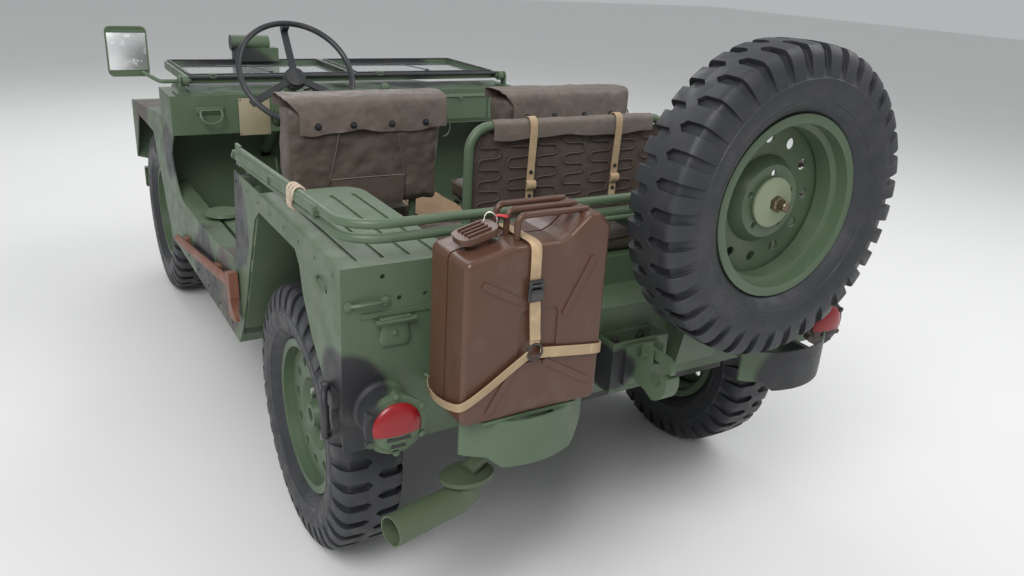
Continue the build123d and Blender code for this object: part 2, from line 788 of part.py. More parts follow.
canvas_bottom = backrest_pivot_height + 50 + backrest_tube
canvas_top = backrest_top - 2 * backrest_tube - 1
with BuildPart() as backrest_canvas:
    with BuildSketch(cross_plane(backrest_y + 8)):
        with Locations((bench_middle_x, (canvas_bottom + canvas_top) / 2)):
            RectangleRounded(bench_width - 4 * backrest_tube - 2, canvas_top - canvas_bottom, 60)
    extrude(amount=16)
backrest_canvas.part.label = "backrest_canvas"
export_step(backrest_canvas.part, "parts/backrest_canvas.step")

# Steering wheel: a dished three-spoke wheel square to the column
steering_radius = 225
steering_rim = 11
column_tip = 25
stub_radius = 10
stub_length = 60
lever_radius = 7
tunnel_top = floor_under + tunnel_height
with BuildPart() as steering_wheel:
    rim_centre = Vector(*steering_hub) - column_direction * 45
    rim_plane = Plane(origin=rim_centre, x_dir=(1, 0, 0), z_dir=column_direction)
    with BuildSketch(Plane(origin=rim_centre + Vector(steering_radius - steering_rim, 0, 0),
                           x_dir=(1, 0, 0), z_dir=rim_plane.y_dir)):
        Circle(steering_rim)
    revolve(axis=Axis(rim_centre, column_direction))
    with BuildSketch(Plane(origin=rim_centre + column_direction * 25, x_dir=(1, 0, 0), z_dir=column_direction)):
        Circle(38)
    extrude(amount=40)
    with BuildSketch(Plane(origin=rim_centre + column_direction * 30, x_dir=(1, 0, 0), z_dir=column_direction)):
        with PolarLocations((steering_radius - steering_rim) / 2 + 10, 3, 90):
            Rectangle(steering_radius - steering_rim - 30, 26)
    extrude(amount=8)
    with BuildSketch(Plane(origin=rim_centre, x_dir=(1, 0, 0), z_dir=column_direction)):
        with PolarLocations(steering_radius - steering_rim - 8, 3, 90):
            Rectangle(20, 26)
    extrude(amount=38)
    with BuildSketch(column_plane):
        Circle(stub_radius)
    extrude(amount=column_tip + stub_length - clearance)
steering_wheel.part.label = "steering_wheel"
export_step(steering_wheel.part, "parts/steering_wheel.step")

# Column, gear levers and pedals
with BuildPart() as driver_controls:
    with BuildSketch(column_plane.offset(column_tip + clearance)):
        Circle(column_radius)
        Circle(stub_radius + running_gap, mode=Mode.SUBTRACT)
    extrude(amount=stub_length)
    with BuildSketch(column_plane.offset(column_tip + clearance + stub_length)):
        Circle(column_radius)
    extrude(amount=column_length - column_tip - stub_length - 30)
    with Locations((steering_hub[0], dash_y - 30, dash_bottom + 5)):
        Box(60, 12, 14)
    # Gear, transfer and hand brake levers on the tunnel: foot, knob and knob radius
    for foot, knob, knob_radius in (
        ((-10, -60), (-36, -200, 1085), 20),
        ((70, 20), (70, -70, 830), 15),
        ((-80, 60), (-80, -110, 800), 12),
    ):
        with BuildLine() as lever_line:
            Line((*foot, tunnel_top + 6), knob)
        with BuildSketch(Plane(origin=lever_line.line @ 0, z_dir=lever_line.line % 0)):
            Circle(lever_radius)
        sweep(path=lever_line.line)
        with Locations(knob):
            Sphere(knob_radius)
        with BuildSketch(Plane.XY.offset(tunnel_top)):
            with Locations(foot):
                Circle(26)
        extrude(amount=18, taper=35)
    # Clutch, brake and accelerator hang from the firewall
    for x, pad_width in ((460, 70), (340, 70), (250, 46)):
        with BuildLine(side_plane(x)) as pedal_line:
            FilletPolyline(
                (firewall_y, 740),
                (firewall_y + 70, 740),
                (firewall_y + 95, 590),
                radius=30,
            )
        with BuildSketch(Plane(origin=pedal_line.line @ 0, z_dir=pedal_line.line % 0)):
            Circle(lever_radius)
        sweep(path=pedal_line.line)
        with Locations((x, firewall_y + 100, 595)):
            Box(pad_width, 10, 60)
driver_controls.part.label = "driver_controls"
export_step(driver_controls.part, "parts/driver_controls.step")

# Wheels: one tyre, one rim and one hub, modelled about the z axis with their outer side up
disc_offset = 31
hub_offset = 1
disc_thickness = 6
hub_face_radius = 86
disc_slope_radius = 106
hub_bore_radius = 40
hand_hole_radius = 14
hand_hole_circle = 150
hand_hole_count = 12
bead = rim_width / 2
drum_inner = -45
hub_face = hub_offset - disc_thickness / 2
crown_half_width = 26
shoulder_offset = 80
shoulder_radius = tyre_radius - 10
side_offset = shoulder_offset + 9
side_radius = tyre_radius - 38
belly_radius = tyre_radius - 85
with BuildPart() as master_tyre:
    with BuildSketch(Plane.XZ):
        with BuildLine():
            Polyline(
                (rim_flange_radius + 2, -bead),
                (rim_seat_radius, -bead),
                (rim_seat_radius, bead),
                (rim_flange_radius + 2, bead),
            )
            ThreePointArc((rim_flange_radius + 2, bead), (belly_radius, tyre_width / 2), (side_radius, side_offset))
            Polyline(
                (side_radius, side_offset),
                (shoulder_radius, shoulder_offset),
                (tyre_radius, crown_half_width),
                (tyre_radius, -crown_half_width),
                (shoulder_radius, -shoulder_offset),
                (side_radius, -side_offset),
            )
            ThreePointArc((side_radius, -side_offset), (belly_radius, -tyre_width / 2), (rim_flange_radius + 2, -bead))
        make_face()
    revolve(axis=Axis.Z)

with BuildPart() as master_rim:
    with BuildSketch(Plane.XZ):
        # Barrel with its two flanges and the drop centre
        with BuildLine():
            Polyline(
                (rim_flange_radius, -bead - 6),
                (rim_flange_radius, -bead),
                (rim_seat_radius, -bead),
                (rim_seat_radius, -26),
                (rim_seat_radius - 14, -20),
                (rim_seat_radius - 14, 16),
                (rim_seat_radius, 22),
                (rim_seat_radius, bead),
                (rim_flange_radius, bead),
                (rim_flange_radius, bead + 6),
                (rim_seat_radius - 6, bead + 6),
                (rim_seat_radius - 6, 26),
                (rim_seat_radius - 20, 20),
                (rim_seat_radius - 20, -24),
                (rim_seat_radius - 6, -30),
                (rim_seat_radius - 6, -bead - 6),
                close=True,
            )
        make_face()
        # Disc: outer ring, slope and sunken hub face
        with BuildLine():
            Polyline(
                (rim_seat_radius - 6, disc_offset - disc_thickness / 2),
                (rim_seat_radius - 6, disc_offset + disc_thickness / 2),
                (disc_slope_radius, disc_offset + disc_thickness / 2),
                (hub_face_radius, hub_offset + disc_thickness / 2),
                (hub_bore_radius, hub_offset + disc_thickness / 2),
                (hub_bore_radius, hub_offset - disc_thickness / 2),
                (hub_face_radius + 4, hub_offset - disc_thickness / 2),
                (disc_slope_radius + 4, disc_offset - disc_thickness / 2),
                close=True,
            )
        make_face()
    revolve(axis=Axis.Z)
    with BuildSketch(Plane.XY.offset(disc_offset + disc_thickness)):
        with PolarLocations(hand_hole_circle, hand_hole_count):
            Circle(hand_hole_radius)
    extrude(amount=-2 * disc_thickness, mode=Mode.SUBTRACT)
    with BuildSketch(Plane.XY.offset(hub_offset + disc_thickness)):
        with PolarLocations(lug_circle / 2, lug_count):
            Circle(lug_hole_radius)
    extrude(amount=-2 * disc_thickness, mode=Mode.SUBTRACT)

# Hub, brake drum and studs turn with each running wheel.
with BuildPart() as master_hub:
    with BuildSketch(Plane.XZ):
        with BuildLine():
            Polyline(
                (spindle_radius + running_gap, drum_inner),
                (spindle_radius + running_gap, 46),
                (34, 46),
                (44, hub_face + 8),
                (44, hub_face),
                (85, hub_face),
                (drum_radius, -12),
                (drum_radius, drum_inner),
                (drum_radius - 10, drum_inner),
                (drum_radius - 10, -20),
                (60, -10),
                (40, drum_inner),
                close=True,
            )
        make_face()
    revolve(axis=Axis.Z)
    with BuildSketch(Plane.XY.offset(hub_face)):
        with PolarLocations(lug_circle / 2, lug_count):
            Circle(lug_hole_radius + 1)
    extrude(amount=24)

# Place, centre and outward direction of each wheel: four on the axles and a spare behind
# the tail with its outer side to the car
spare_x = -218
spare_y = tail_y + 217
spare_height = 1105
wheel_places = {
    "front_left": ((wheel_x, front_axle, tyre_radius), (1, 0, 0)),
    "front_right": ((-wheel_x, front_axle, tyre_radius), (-1, 0, 0)),
    "rear_left": ((wheel_x, rear_axle, tyre_radius), (1, 0, 0)),
    "rear_right": ((-wheel_x, rear_axle, tyre_radius), (-1, 0, 0)),
    "spare": ((spare_x, spare_y, spare_height), (0, -1, 0)),
}
for place, (centre, outward) in wheel_places.items():
    wheel_plane = Plane(origin=centre, x_dir=UP, z_dir=outward)
    with BuildPart() as tyre:
        with Locations(wheel_plane):
            add(master_tyre.part)
    tyre.part.label = f"{place}_tyre"
    export_step(tyre.part, f"parts/{place}_tyre.step")

    with BuildPart() as rim:
        with Locations(wheel_plane):
            add(master_rim.part)
            if place != "spare":
                add(master_hub.part)
    rim.part.label = f"{place}_rim"
    export_step(rim.part, f"parts/{place}_rim.step")

# Knuckles: each steers about its kingpin and carries the spindle of a front wheel
kingpin_x = wheel_x - kingpin_inset
knuckle_bottom = 300
knuckle_top = 490
kingpin_stub = 34
backing_x = drum_inner - clearance
spindle_end = 40
for name, side in sides.items():
    with BuildPart() as knuckle:
        with Locations((side * kingpin_x, front_axle, (knuckle_bottom + knuckle_top) / 2)):
            Box(40, 60, knuckle_top - knuckle_bottom)
        with BuildSketch(Plane.XY.offset(knuckle_bottom - kingpin_stub)):
            with Locations((side * kingpin_x, front_axle)):
                Circle(kingpin_radius)
        extrude(amount=knuckle_top - knuckle_bottom + 2 * kingpin_stub)
        with BuildSketch(side_plane(side * kingpin_x)):
            with Locations((front_axle, tyre_radius)):
                Circle(spindle_radius)
        extrude(amount=side * (kingpin_inset + spindle_end))
        with BuildSketch(side_plane(side * (wheel_x + backing_x))):
            with Locations((front_axle, tyre_radius)):
                Circle(drum_radius)
        extrude(amount=-side * 4)
        with Locations((side * (kingpin_x - 10), front_axle + 90, knuckle_bottom + 30)):
            Box(24, 130, 20)
    knuckle.part.label = f"front_{name}_knuckle"
    export_step(knuckle.part, f"parts/front_{name}_knuckle.step")

# Suspension: two wishbones at each front wheel, on cross bars under the rails
eye_radius = 28
eye_height = 24
lower_eye_z = knuckle_bottom - clearance - eye_height
upper_eye_z = knuckle_top + clearance
arm_spread = 150
crossbar_size = 40
with BuildPart() as front_suspension:
    for side in sides.values():
        for y in (front_axle - arm_spread + 25, front_axle + arm_spread - 25):
            with Locations((side * (apron_x - 22), y, (floor_under + upper_eye_z + eye_height) / 2)):
                Box(44, crossbar_size, upper_eye_z + eye_height - floor_under)
        for eye_z in (lower_eye_z, upper_eye_z):
            with BuildSketch(Plane.XY.offset(eye_z)):
                with BuildLine():
                    Polyline(
                        (side * (apron_x - 15), front_axle - arm_spread),
                        (side * kingpin_x, front_axle - eye_radius),
                        (side * kingpin_x, front_axle + eye_radius),
                        (side * (apron_x - 15), front_axle + arm_spread),
                        (side * (apron_x - 15), front_axle + arm_spread - 50),
                        (side * (kingpin_x - 60), front_axle),
                        (side * (apron_x - 15), front_axle - arm_spread + 50),
                        close=True,
                    )
                make_face()
                with Locations((side * kingpin_x, front_axle)):
                    Circle(eye_radius)
                    Circle(kingpin_radius + running_gap, mode=Mode.SUBTRACT)
            extrude(amount=eye_height)
    for y in (front_axle - arm_spread + 25, front_axle + arm_spread - 25):
        with Locations((0, y, (lower_eye_z + rail_bottom) / 2)):
            Box(2 * apron_x, crossbar_size, rail_bottom - lower_eye_z)
front_suspension.part.label = "front_suspension"
export_step(front_suspension.part, "parts/front_suspension.step")

# Rear suspension: trailing arms with fixed spindles, on a pivot bar hung from the rails
rear_arm_x = 430
rear_hub_x = 560
trailing_pivot_y = heel_y + 150
with BuildPart() as rear_suspension:
    for side in sides.values():
        with BuildSketch(side_plane(side * (rear_arm_x - 30))):
            with BuildLine():
                Polyline(
                    (trailing_pivot_y - 30, rear_rail_bottom - 150),
                    (trailing_pivot_y - 30, rear_rail_bottom - 95),
                    (rear_axle + 60, tyre_radius + 50),
                    (rear_axle + 60, tyre_radius - 50),
                    close=True,
                )
            make_face()
        extrude(amount=side * 60)
        with Locations((side * (rear_arm_x + rear_hub_x) / 2, rear_axle, tyre_radius)):
            Box(rear_hub_x - rear_arm_x, 90, 90)
        with BuildSketch(side_plane(side * rear_hub_x)):
            with Locations((rear_axle, tyre_radius)):
                Circle(spindle_radius)
        extrude(amount=side * (wheel_x - rear_hub_x + spindle_end))
        with BuildSketch(side_plane(side * (wheel_x + backing_x))):
            with Locations((rear_axle, tyre_radius)):
                Circle(drum_radius)
        extrude(amount=-side * 4)
        with Locations((side * (wheel_x + backing_x + rear_hub_x) / 2, rear_axle, tyre_radius)):
            Box(wheel_x + backing_x - rear_hub_x, 60, 60)
    with Locations((0, trailing_pivot_y, rear_rail_bottom - 125)):
        Box(2 * rear_arm_x - 60, 50, 50)
    for side in sides.values():
        with Locations((side * (rail_inner_x + 20), trailing_pivot_y, rear_rail_bottom - 50)):
            Box(40, 50, 100)
rear_suspension.part.label = "rear_suspension"
export_step(rear_suspension.part, "parts/rear_suspension.step")

# Engine and driveline
engine_half_width = 180
engine_front_y = -1330
engine_rear_y = -760
engine_bottom = 500
engine_top = 900
with BuildPart() as engine:
    with Locations((0, (engine_front_y + engine_rear_y) / 2, (engine_bottom + engine_top) / 2)):
        Box(2 * engine_half_width, engine_rear_y - engine_front_y, engine_top - engine_bottom)
engine.part.label = "engine"
export_step(engine.part, "parts/engine.step")

with BuildPart() as radiator:
    with Locations((0, -1420, 690)):
        Box(560, 50, 330)
radiator.part.label = "radiator"
export_step(radiator.part, "parts/radiator.step")

shaft_radius = 22
diff_radius = 105
gearbox_rear_y = 120
shaft_height = 455
with BuildPart() as driveline:
    with Locations((0, (engine_rear_y + gearbox_rear_y) / 2, (gearbox_bottom + 600) / 2)):
        Box(2 * gearbox_half_width, gearbox_rear_y - engine_rear_y, 600 - gearbox_bottom)
    for y, z in ((front_axle, tyre_radius - 20), (rear_axle, tyre_radius)):
        with Locations((0, y, z)):
            Sphere(diff_radius)
    with BuildSketch(cross_plane(rear_axle)):
        with Locations((0, shaft_height)):
            Circle(shaft_radius)
    extrude(amount=rear_axle - gearbox_rear_y + 50)
    with BuildSketch(cross_plane(front_axle)):
        with Locations((0, 440)):
            Circle(shaft_radius)
    extrude(amount=front_axle - engine_rear_y - 60)
    with BuildSketch(side_plane(-520)):
        with Locations((front_axle, tyre_radius)):
            Circle(16)
    extrude(amount=1040)
    with BuildSketch(side_plane(-rear_arm_x + 36)):
        with Locations((rear_axle, tyre_radius)):
            Circle(16)
    extrude(amount=2 * rear_arm_x - 72)
driveline.part.label = "driveline"
export_step(driveline.part, "parts/driveline.step")

# Exhaust: a silencer under the left floor and a tail pipe that turns out behind the wheel
silencer_radius = 55
pipe_radius = 22
tail_pipe_radius = 38
tail_pipe_bore = 34
pipe_height = 470
flange_x = 495
flange_y = tail_y + 55
flange_height = 440
with BuildPart() as exhaust:
    with BuildLine() as pipe_line:
        FilletPolyline(
            (250, 245, 372),
            (250, 575, 372),
            (250, 700, pipe_height),
            (250, tail_y - 120, pipe_height),
            (440, flange_y - 20, pipe_height),
            (flange_x, flange_y, flange_height + 6),
            radius=45,
        )
    with BuildSketch(Plane(origin=pipe_line.line @ 0, z_dir=pipe_line.line % 0)):
        Circle(pipe_radius)
    sweep(path=pipe_line.line)
    with BuildSketch(cross_plane(262)):
        with Locations((250, 372)):
            Circle(silencer_radius)
    extrude(amount=-250)
    fillet(exhaust.faces().filter_by(Axis.Y).edges().filter_by(lambda e: e.radius == silencer_radius), 15)
    # Oval flange and the wide open tail pipe that turns out behind the wheel
    with BuildSketch(Plane.XY.offset(flange_height)):
        with Locations((flange_x, flange_y)):
            Ellipse(70, 50)
    extrude(amount=-12)
    with BuildLine() as tail_line:
        FilletPolyline(
            (flange_x, flange_y, flange_height - 6),
            (flange_x, flange_y + 6, flange_height - 58),
            (720, tail_y + 115, flange_height - 58),
            radius=42,
        )
    with BuildSketch(Plane(origin=tail_line.line @ 0, z_dir=tail_line.line % 0)):
        Circle(tail_pipe_radius)
        Circle(tail_pipe_bore, mode=Mode.SUBTRACT)
    sweep(path=tail_line.line)
exhaust.part.label = "exhaust"
export_step(exhaust.part, "parts/exhaust.step")

# Rear lamps: round housings on the panel's lower corners
lamp_x = 699
lamp_height = 645
lamp_radius = 60
lamp_depth = 105
bezel_radius = 72
bezel_y = tail_y + lamp_depth - 27
bezel_depth = 14
lamp_lugs = 6
with BuildPart() as rear_lamps:
    for side in sides.values():
        lamp_centre = (side * lamp_x, tail_y, lamp_height)
        # Foot, barrel, bezel and domed lens, turned about the lamp's axis
        with BuildSketch(Plane(origin=lamp_centre, x_dir=(0, 1, 0), z_dir=(1, 0, 0))):
            with BuildLine():
                Polyline(
                    (lamp_depth, 0),
                    (0, 0),
                    (0, lamp_radius + 8),
                    (8, lamp_radius + 8),
                    (14, lamp_radius),
                    (bezel_y - tail_y, lamp_radius),
                    (bezel_y - tail_y, bezel_radius),
                    (bezel_y - tail_y + bezel_depth, bezel_radius),
                    (bezel_y - tail_y + bezel_depth, lamp_radius),
                )
                ThreePointArc((bezel_y - tail_y + bezel_depth, lamp_radius), (lamp_depth - 4, lamp_radius / 2),
                              (lamp_depth, 0))
            make_face()
        revolve(axis=Axis(lamp_centre, (0, 1, 0)))
        with BuildSketch(cross_plane(bezel_y)):
            with Locations((side * lamp_x, lamp_height)):
                with PolarLocations(bezel_radius - 1, lamp_lugs, 30):
                    Circle(8)
        extrude(amount=-bezel_depth)
        # Two light slots in the lower cover
        with BuildSketch(cross_plane(tail_y + lamp_depth + 1)):
            with Locations((side * lamp_x, lamp_height - 36)):
                with GridLocations(34, 0, 2, 1):
                    Rectangle(22, 8)
        extrude(amount=12, mode=Mode.SUBTRACT)
rear_lamps.part.label = "rear_lamps"
export_step(rear_lamps.part, "parts/rear_lamps.step")

# Bumperettes: curved plates on two arms each
bumperette_x = 425
bumperette_half = 162
bumperette_y = tail_y + 245
bumperette_bow = 65
bumperette_top = 678
bumperette_bottom = 563
bumperette_arm_x = 60
bumperette_plate = 6
with BuildPart() as bumperettes:
    for side in sides.values():
        plate_x = side * bumperette_x
        end_y = bumperette_y - bumperette_bow
        with BuildSketch(Plane.XY.offset(bumperette_bottom)):
            with BuildLine():
                ThreePointArc((plate_x - bumperette_half, end_y), (plate_x, bumperette_y),
                              (plate_x + bumperette_half, end_y))
                Line((plate_x + bumperette_half, end_y), (plate_x + bumperette_half, end_y - bumperette_plate))
                ThreePointArc((plate_x + bumperette_half, end_y - bumperette_plate),
                              (plate_x, bumperette_y - bumperette_plate),
                              (plate_x - bumperette_half, end_y - bumperette_plate))
                Line((plate_x - bumperette_half, end_y - bumperette_plate), (plate_x - bumperette_half, end_y))
            make_face()
        extrude(amount=bumperette_top - bumperette_bottom)
        # Both plates are of one hand: a raised left end and a chamfered right corner.
        with BuildSketch(cross_plane(end_y - 2 * bumperette_plate)):
            with BuildLine():
                Polyline(
                    (plate_x + bumperette_half / 2, bumperette_bottom),
                    (plate_x + bumperette_half - 50, bumperette_bottom + 26),
                    (plate_x + bumperette_half + 10, bumperette_bottom + 26),
                    (plate_x + bumperette_half + 10, bumperette_bottom - 5),
                    (plate_x + bumperette_half / 2, bumperette_bottom - 5),
                    close=True,
                )
            make_face()
            with BuildLine():
                Polyline(
                    (plate_x - bumperette_half + 48, bumperette_bottom),
                    (plate_x - bumperette_half, bumperette_bottom + 47),
                    (plate_x - bumperette_half - 10, bumperette_bottom + 47),
                    (plate_x - bumperette_half - 10, bumperette_bottom - 5),
                    (plate_x - bumperette_half + 48, bumperette_bottom - 5),
                    close=True,
                )
            make_face()
        extrude(amount=-bumperette_bow - 4 * bumperette_plate, mode=Mode.SUBTRACT)
        with Locations((plate_x, (tail_y + bumperette_y - 14) / 2, bumperette_top - 50)):
            with GridLocations(2 * bumperette_arm_x, 0, 2, 1):
                Box(16, bumperette_y - 14 - tail_y, 60)
bumperettes.part.label = "bumperettes"
export_step(bumperettes.part, "parts/bumperettes.step")

# Towing pintle: a hook with a cast shank on a box bracket, and the latch that closes its mouth
pintle_height = 650
pintle_y = tail_y + 150
pintle_half_width = 22
bracket_depth = 70
bracket_half = 90
bracket_wall = 8
latch_y = pintle_y - 30
latch_height = pintle_height + 45
latch_pin = 6
with BuildPart() as pintle_hook:
    with Locations((0, tail_y + bracket_depth / 2, pintle_height - 7)):
        Box(2 * bracket_half, bracket_depth, 140)
        Box(2 * (bracket_half - bracket_wall), bracket_depth - 2 * bracket_wall, 160, mode=Mode.SUBTRACT)
    with Locations((0, tail_y + bracket_depth + 6, pintle_height)):
        Box(110, 12, 110)
    with BuildSketch(side_plane(-pintle_half_width)):
        with BuildLine():
            Polyline(
                (pintle_y - 70, pintle_height + 25),
                (pintle_y - 70, pintle_height - 40),
                (pintle_y - 22, pintle_height - 52),
                (pintle_y + 8, pintle_height - 66),
            )
            ThreePointArc((pintle_y + 8, pintle_height - 66), (pintle_y + 44, pintle_height - 42),
                          (pintle_y + 52, pintle_height + 10))
            Line((pintle_y + 52, pintle_height + 10), (pintle_y + 28, pintle_height + 10))
            ThreePointArc((pintle_y + 28, pintle_height + 10), (pintle_y + 14, pintle_height - 26),
                          (pintle_y - 8, pintle_height - 10))
            Polyline(
                (pintle_y - 8, pintle_height - 10),
                (pintle_y - 8, pintle_height + 25),
                (pintle_y - 70, pintle_height + 25),
            )
        make_face()
    extrude(amount=2 * pintle_half_width)
    # Two cheeks carry the latch's pin.
    for x in (-pintle_half_width, pintle_half_width - bracket_wall):
        with BuildSketch(side_plane(x)):
            with Locations((latch_y, latch_height)):
                RectangleRounded(40, 60, 12)
                Circle(latch_pin + running_gap, mode=Mode.SUBTRACT)
        extrude(amount=bracket_wall)
pintle_hook.part.label = "pintle_hook"
export_step(pintle_hook.part, "parts/pintle_hook.step")

latch_half_width = pintle_half_width - bracket_wall - clearance
with BuildPart() as pintle_latch:
    with BuildSketch(side_plane(-latch_half_width)):
        with Locations((latch_y, latch_height)):
            Circle(15)
        with BuildLine():
            Polyline((latch_y, latch_height + 15), (latch_y + 60, latch_height + 13))
            ThreePointArc((latch_y + 60, latch_height + 13), (latch_y + 78, latch_height - 2),
                          (latch_y + 82, latch_height - 26))
            Polyline((latch_y + 82, latch_height - 26), (latch_y + 58, latch_height - 26),
                     (latch_y + 38, latch_height - 9), (latch_y, latch_height - 11),
                     (latch_y, latch_height + 15))
        make_face()
    extrude(amount=2 * latch_half_width)
    with BuildSketch(side_plane(-30)):
        with Locations((latch_y, latch_height)):
            Circle(latch_pin)
    extrude(amount=60)
pintle_latch.part.label = "pintle_latch"
export_step(pintle_latch.part, "parts/pintle_latch.step")

# Lifting shackles: two on the rear corners, two on the front bumper
front_shackle_x = 440
shackle_thickness = 14
shackle_bow = 32
with BuildPart() as shackles:
    for side in sides.values():
        for x, y, z in ((body_half_width, tail_y - 60, 640), (front_shackle_x, nose - shackle_bow, 450)):
            with BuildSketch(side_plane(side * x)):
                with Locations((y, z)):
                    Rectangle(50, 90)
                with Locations((y, z + 25)):
                    Rectangle(2 * shackle_bow, 40)
                with Locations((y, z - 45)):
                    Circle(shackle_bow)
                    Circle(shackle_bow - shackle_thickness, mode=Mode.SUBTRACT)
                with Locations((y, z - 20)):
                    Rectangle(50 - 2 * shackle_thickness, 50, mode=Mode.SUBTRACT)
            extrude(amount=side * shackle_thickness)
shackles.part.label = "shackles"
export_step(shackles.part, "parts/shackles.step")

# Spare wheel carrier: a pressed arm from the rear panel, hub post and clamp plate
carrier_half_width = 70
carrier_face_y = spare_y - 147
carrier_bulge_y = carrier_face_y + 32
post_radius = 58
clamp_radius = 60
hub_outer_face = spare_y - hub_offset - disc_thickness / 2
with BuildPart() as spare_carrier:
    with BuildSketch(side_plane(spare_x - carrier_half_width)):
        with BuildLine():
            Polyline((tail_y, tail_bottom + 60), (tail_y, tail_height - 5),
                     (carrier_face_y - 30, spare_height - 125), (carrier_face_y - 20, spare_height + 85),
                     (carrier_face_y + 20, spare_height + 85), (carrier_bulge_y, spare_height - 105),
                     (carrier_face_y + 20, tail_height + 15), (carrier_face_y - 20, tail_bottom + 60),
                     close=True)
        make_face()
    extrude(amount=2 * carrier_half_width)
    with BuildSketch(cross_plane(carrier_face_y)):
        with Locations((spare_x, spare_height)):
            Circle(post_radius)
    extrude(amount=carrier_face_y - hub_outer_face)
    with BuildSketch(cross_plane(carrier_face_y)):
        with Locations((spare_x, spare_height)):
            Circle(12)
    extrude(amount=carrier_face_y - hub_outer_face - 60)
    with BuildSketch(cross_plane(hub_outer_face + disc_thickness)):
        with Locations((spare_x, spare_height)):
            Circle(clamp_radius)
    extrude(amount=-10)
spare_carrier.part.label = "spare_carrier"
export_step(spare_carrier.part, "parts/spare_carrier.step")

# Fuel can: two pressed halves with a sunk seam, three handles and a tilted neck under its lid
can_x = 436
can_front_y = tail_y + 62
can_depth = 165
can_rear_y = can_front_y + can_depth
can_middle_y = can_front_y + can_depth / 2
can_bottom = 684
can_left_x = can_x + 174
can_right_x = can_x - 174
can_shoulder = can_bottom + 369
can_flat = can_bottom + 393
can_hump = can_bottom + 445
can_outline = [
    (can_left_x, can_bottom),
    (can_left_x, can_shoulder),
    (can_x + 61, can_flat),
    (can_x - 49, can_flat),
    (can_x - 71, can_flat + 10),
    (can_x - 121, can_hump),
    (can_right_x + 28, can_hump),
    (can_right_x, can_hump - 29),
    (can_right_x, can_bottom),
]
# Ends of the pressed ribs on the wide faces, as x and height from the can's foot
can_ribs = [
    ((can_x + 131, 319), (can_x + 52, 276)),
    ((can_x - 132, 345), (can_x - 70, 230)),
    ((can_x + 53, 116), (can_x + 108, 28)),
    ((can_x - 28, 121), (can_x - 145, 52)),
]
rib_half = 8
rib_relief = 3
handle_radius = 7
neck_tilt = 15
with BuildPart() as fuel_can:
    with BuildSketch(cross_plane(can_front_y)):
        with BuildLine():
            FilletPolyline(*can_outline, radius=18, close=True)
        make_face()
    extrude(amount=-can_depth)
    fillet(fuel_can.faces().filter_by(Axis.Y).edges(), 11)
    # The seam is cut by a frame whose inner edge is the outline drawn in by the relief.
    with BuildSketch(cross_plane(can_middle_y - 3)):
        with Locations((can_x, (can_bottom + can_hump) / 2)):
            Rectangle(can_left_x - can_right_x + 20, can_hump - can_bottom + 20)
        with BuildLine():
            FilletPolyline(*can_outline, radius=18, close=True)
            offset(amount=-rib_relief)
        make_face(mode=Mode.SUBTRACT)
    extrude(amount=-6, mode=Mode.SUBTRACT)
    for face_y, outward in ((can_front_y, 1), (can_rear_y, -1)):
        with BuildSketch(cross_plane(face_y)):
            for (x1, z1), (x2, z2) in can_ribs:
                SlotCenterPoint(((x1 + x2) / 2, can_bottom + (z1 + z2) / 2), (x2, can_bottom + z2), 2 * rib_half)
        extrude(amount=outward * rib_relief)
        with BuildSketch(cross_plane(face_y)):
            with Locations((can_x - 4, can_bottom + 188)):
                RectangleRounded(96, 123, 14)
        extrude(amount=-outward * rib_relief, mode=Mode.SUBTRACT)
    for y in (can_middle_y - 45, can_middle_y, can_middle_y + 45):
        with BuildLine() as handle_line:
            FilletPolyline(
                (can_x + 40, y, can_flat - 8),
                (can_x + 40, y, can_hump + 1),
                (can_x - 132, y, can_hump + 1),
                radius=18,
            )
        with BuildSketch(Plane(origin=handle_line.line @ 0, z_dir=handle_line.line % 0)):
            Circle(handle_radius)
        sweep(path=handle_line.line)
    neck_direction = (sin(radians(neck_tilt)), 0, cos(radians(neck_tilt)))
    neck_plane = Plane(origin=(can_x + 104, can_middle_y, can_shoulder + 2), x_dir=(0, 1, 0), z_dir=neck_direction)
    with BuildSketch(neck_plane):
        Circle(28)
    extrude(amount=32)
    with BuildSketch(neck_plane.offset(28)):
        RectangleRounded(72, 92, 24)
    extrude(amount=14)
fuel_can.part.label = "fuel_can"
export_step(fuel_can.part, "parts/fuel_can.step")

# Tray: a narrow plate from the tail to the left bumperette, with a lip in front of the can
tray_half = 120
with BuildPart() as can_tray:
    with Locations((can_x, (tail_y + can_rear_y) / 2, can_bottom - 3)):
        Box(2 * tray_half, can_rear_y - tail_y, 6)
    with Locations((can_x, can_front_y - 3 - rib_relief - 2, can_bottom + 18)):
        Box(2 * tray_half, 6, 42)
can_tray.part.label = "can_tray"
export_step(can_tray.part, "parts/can_tray.step")

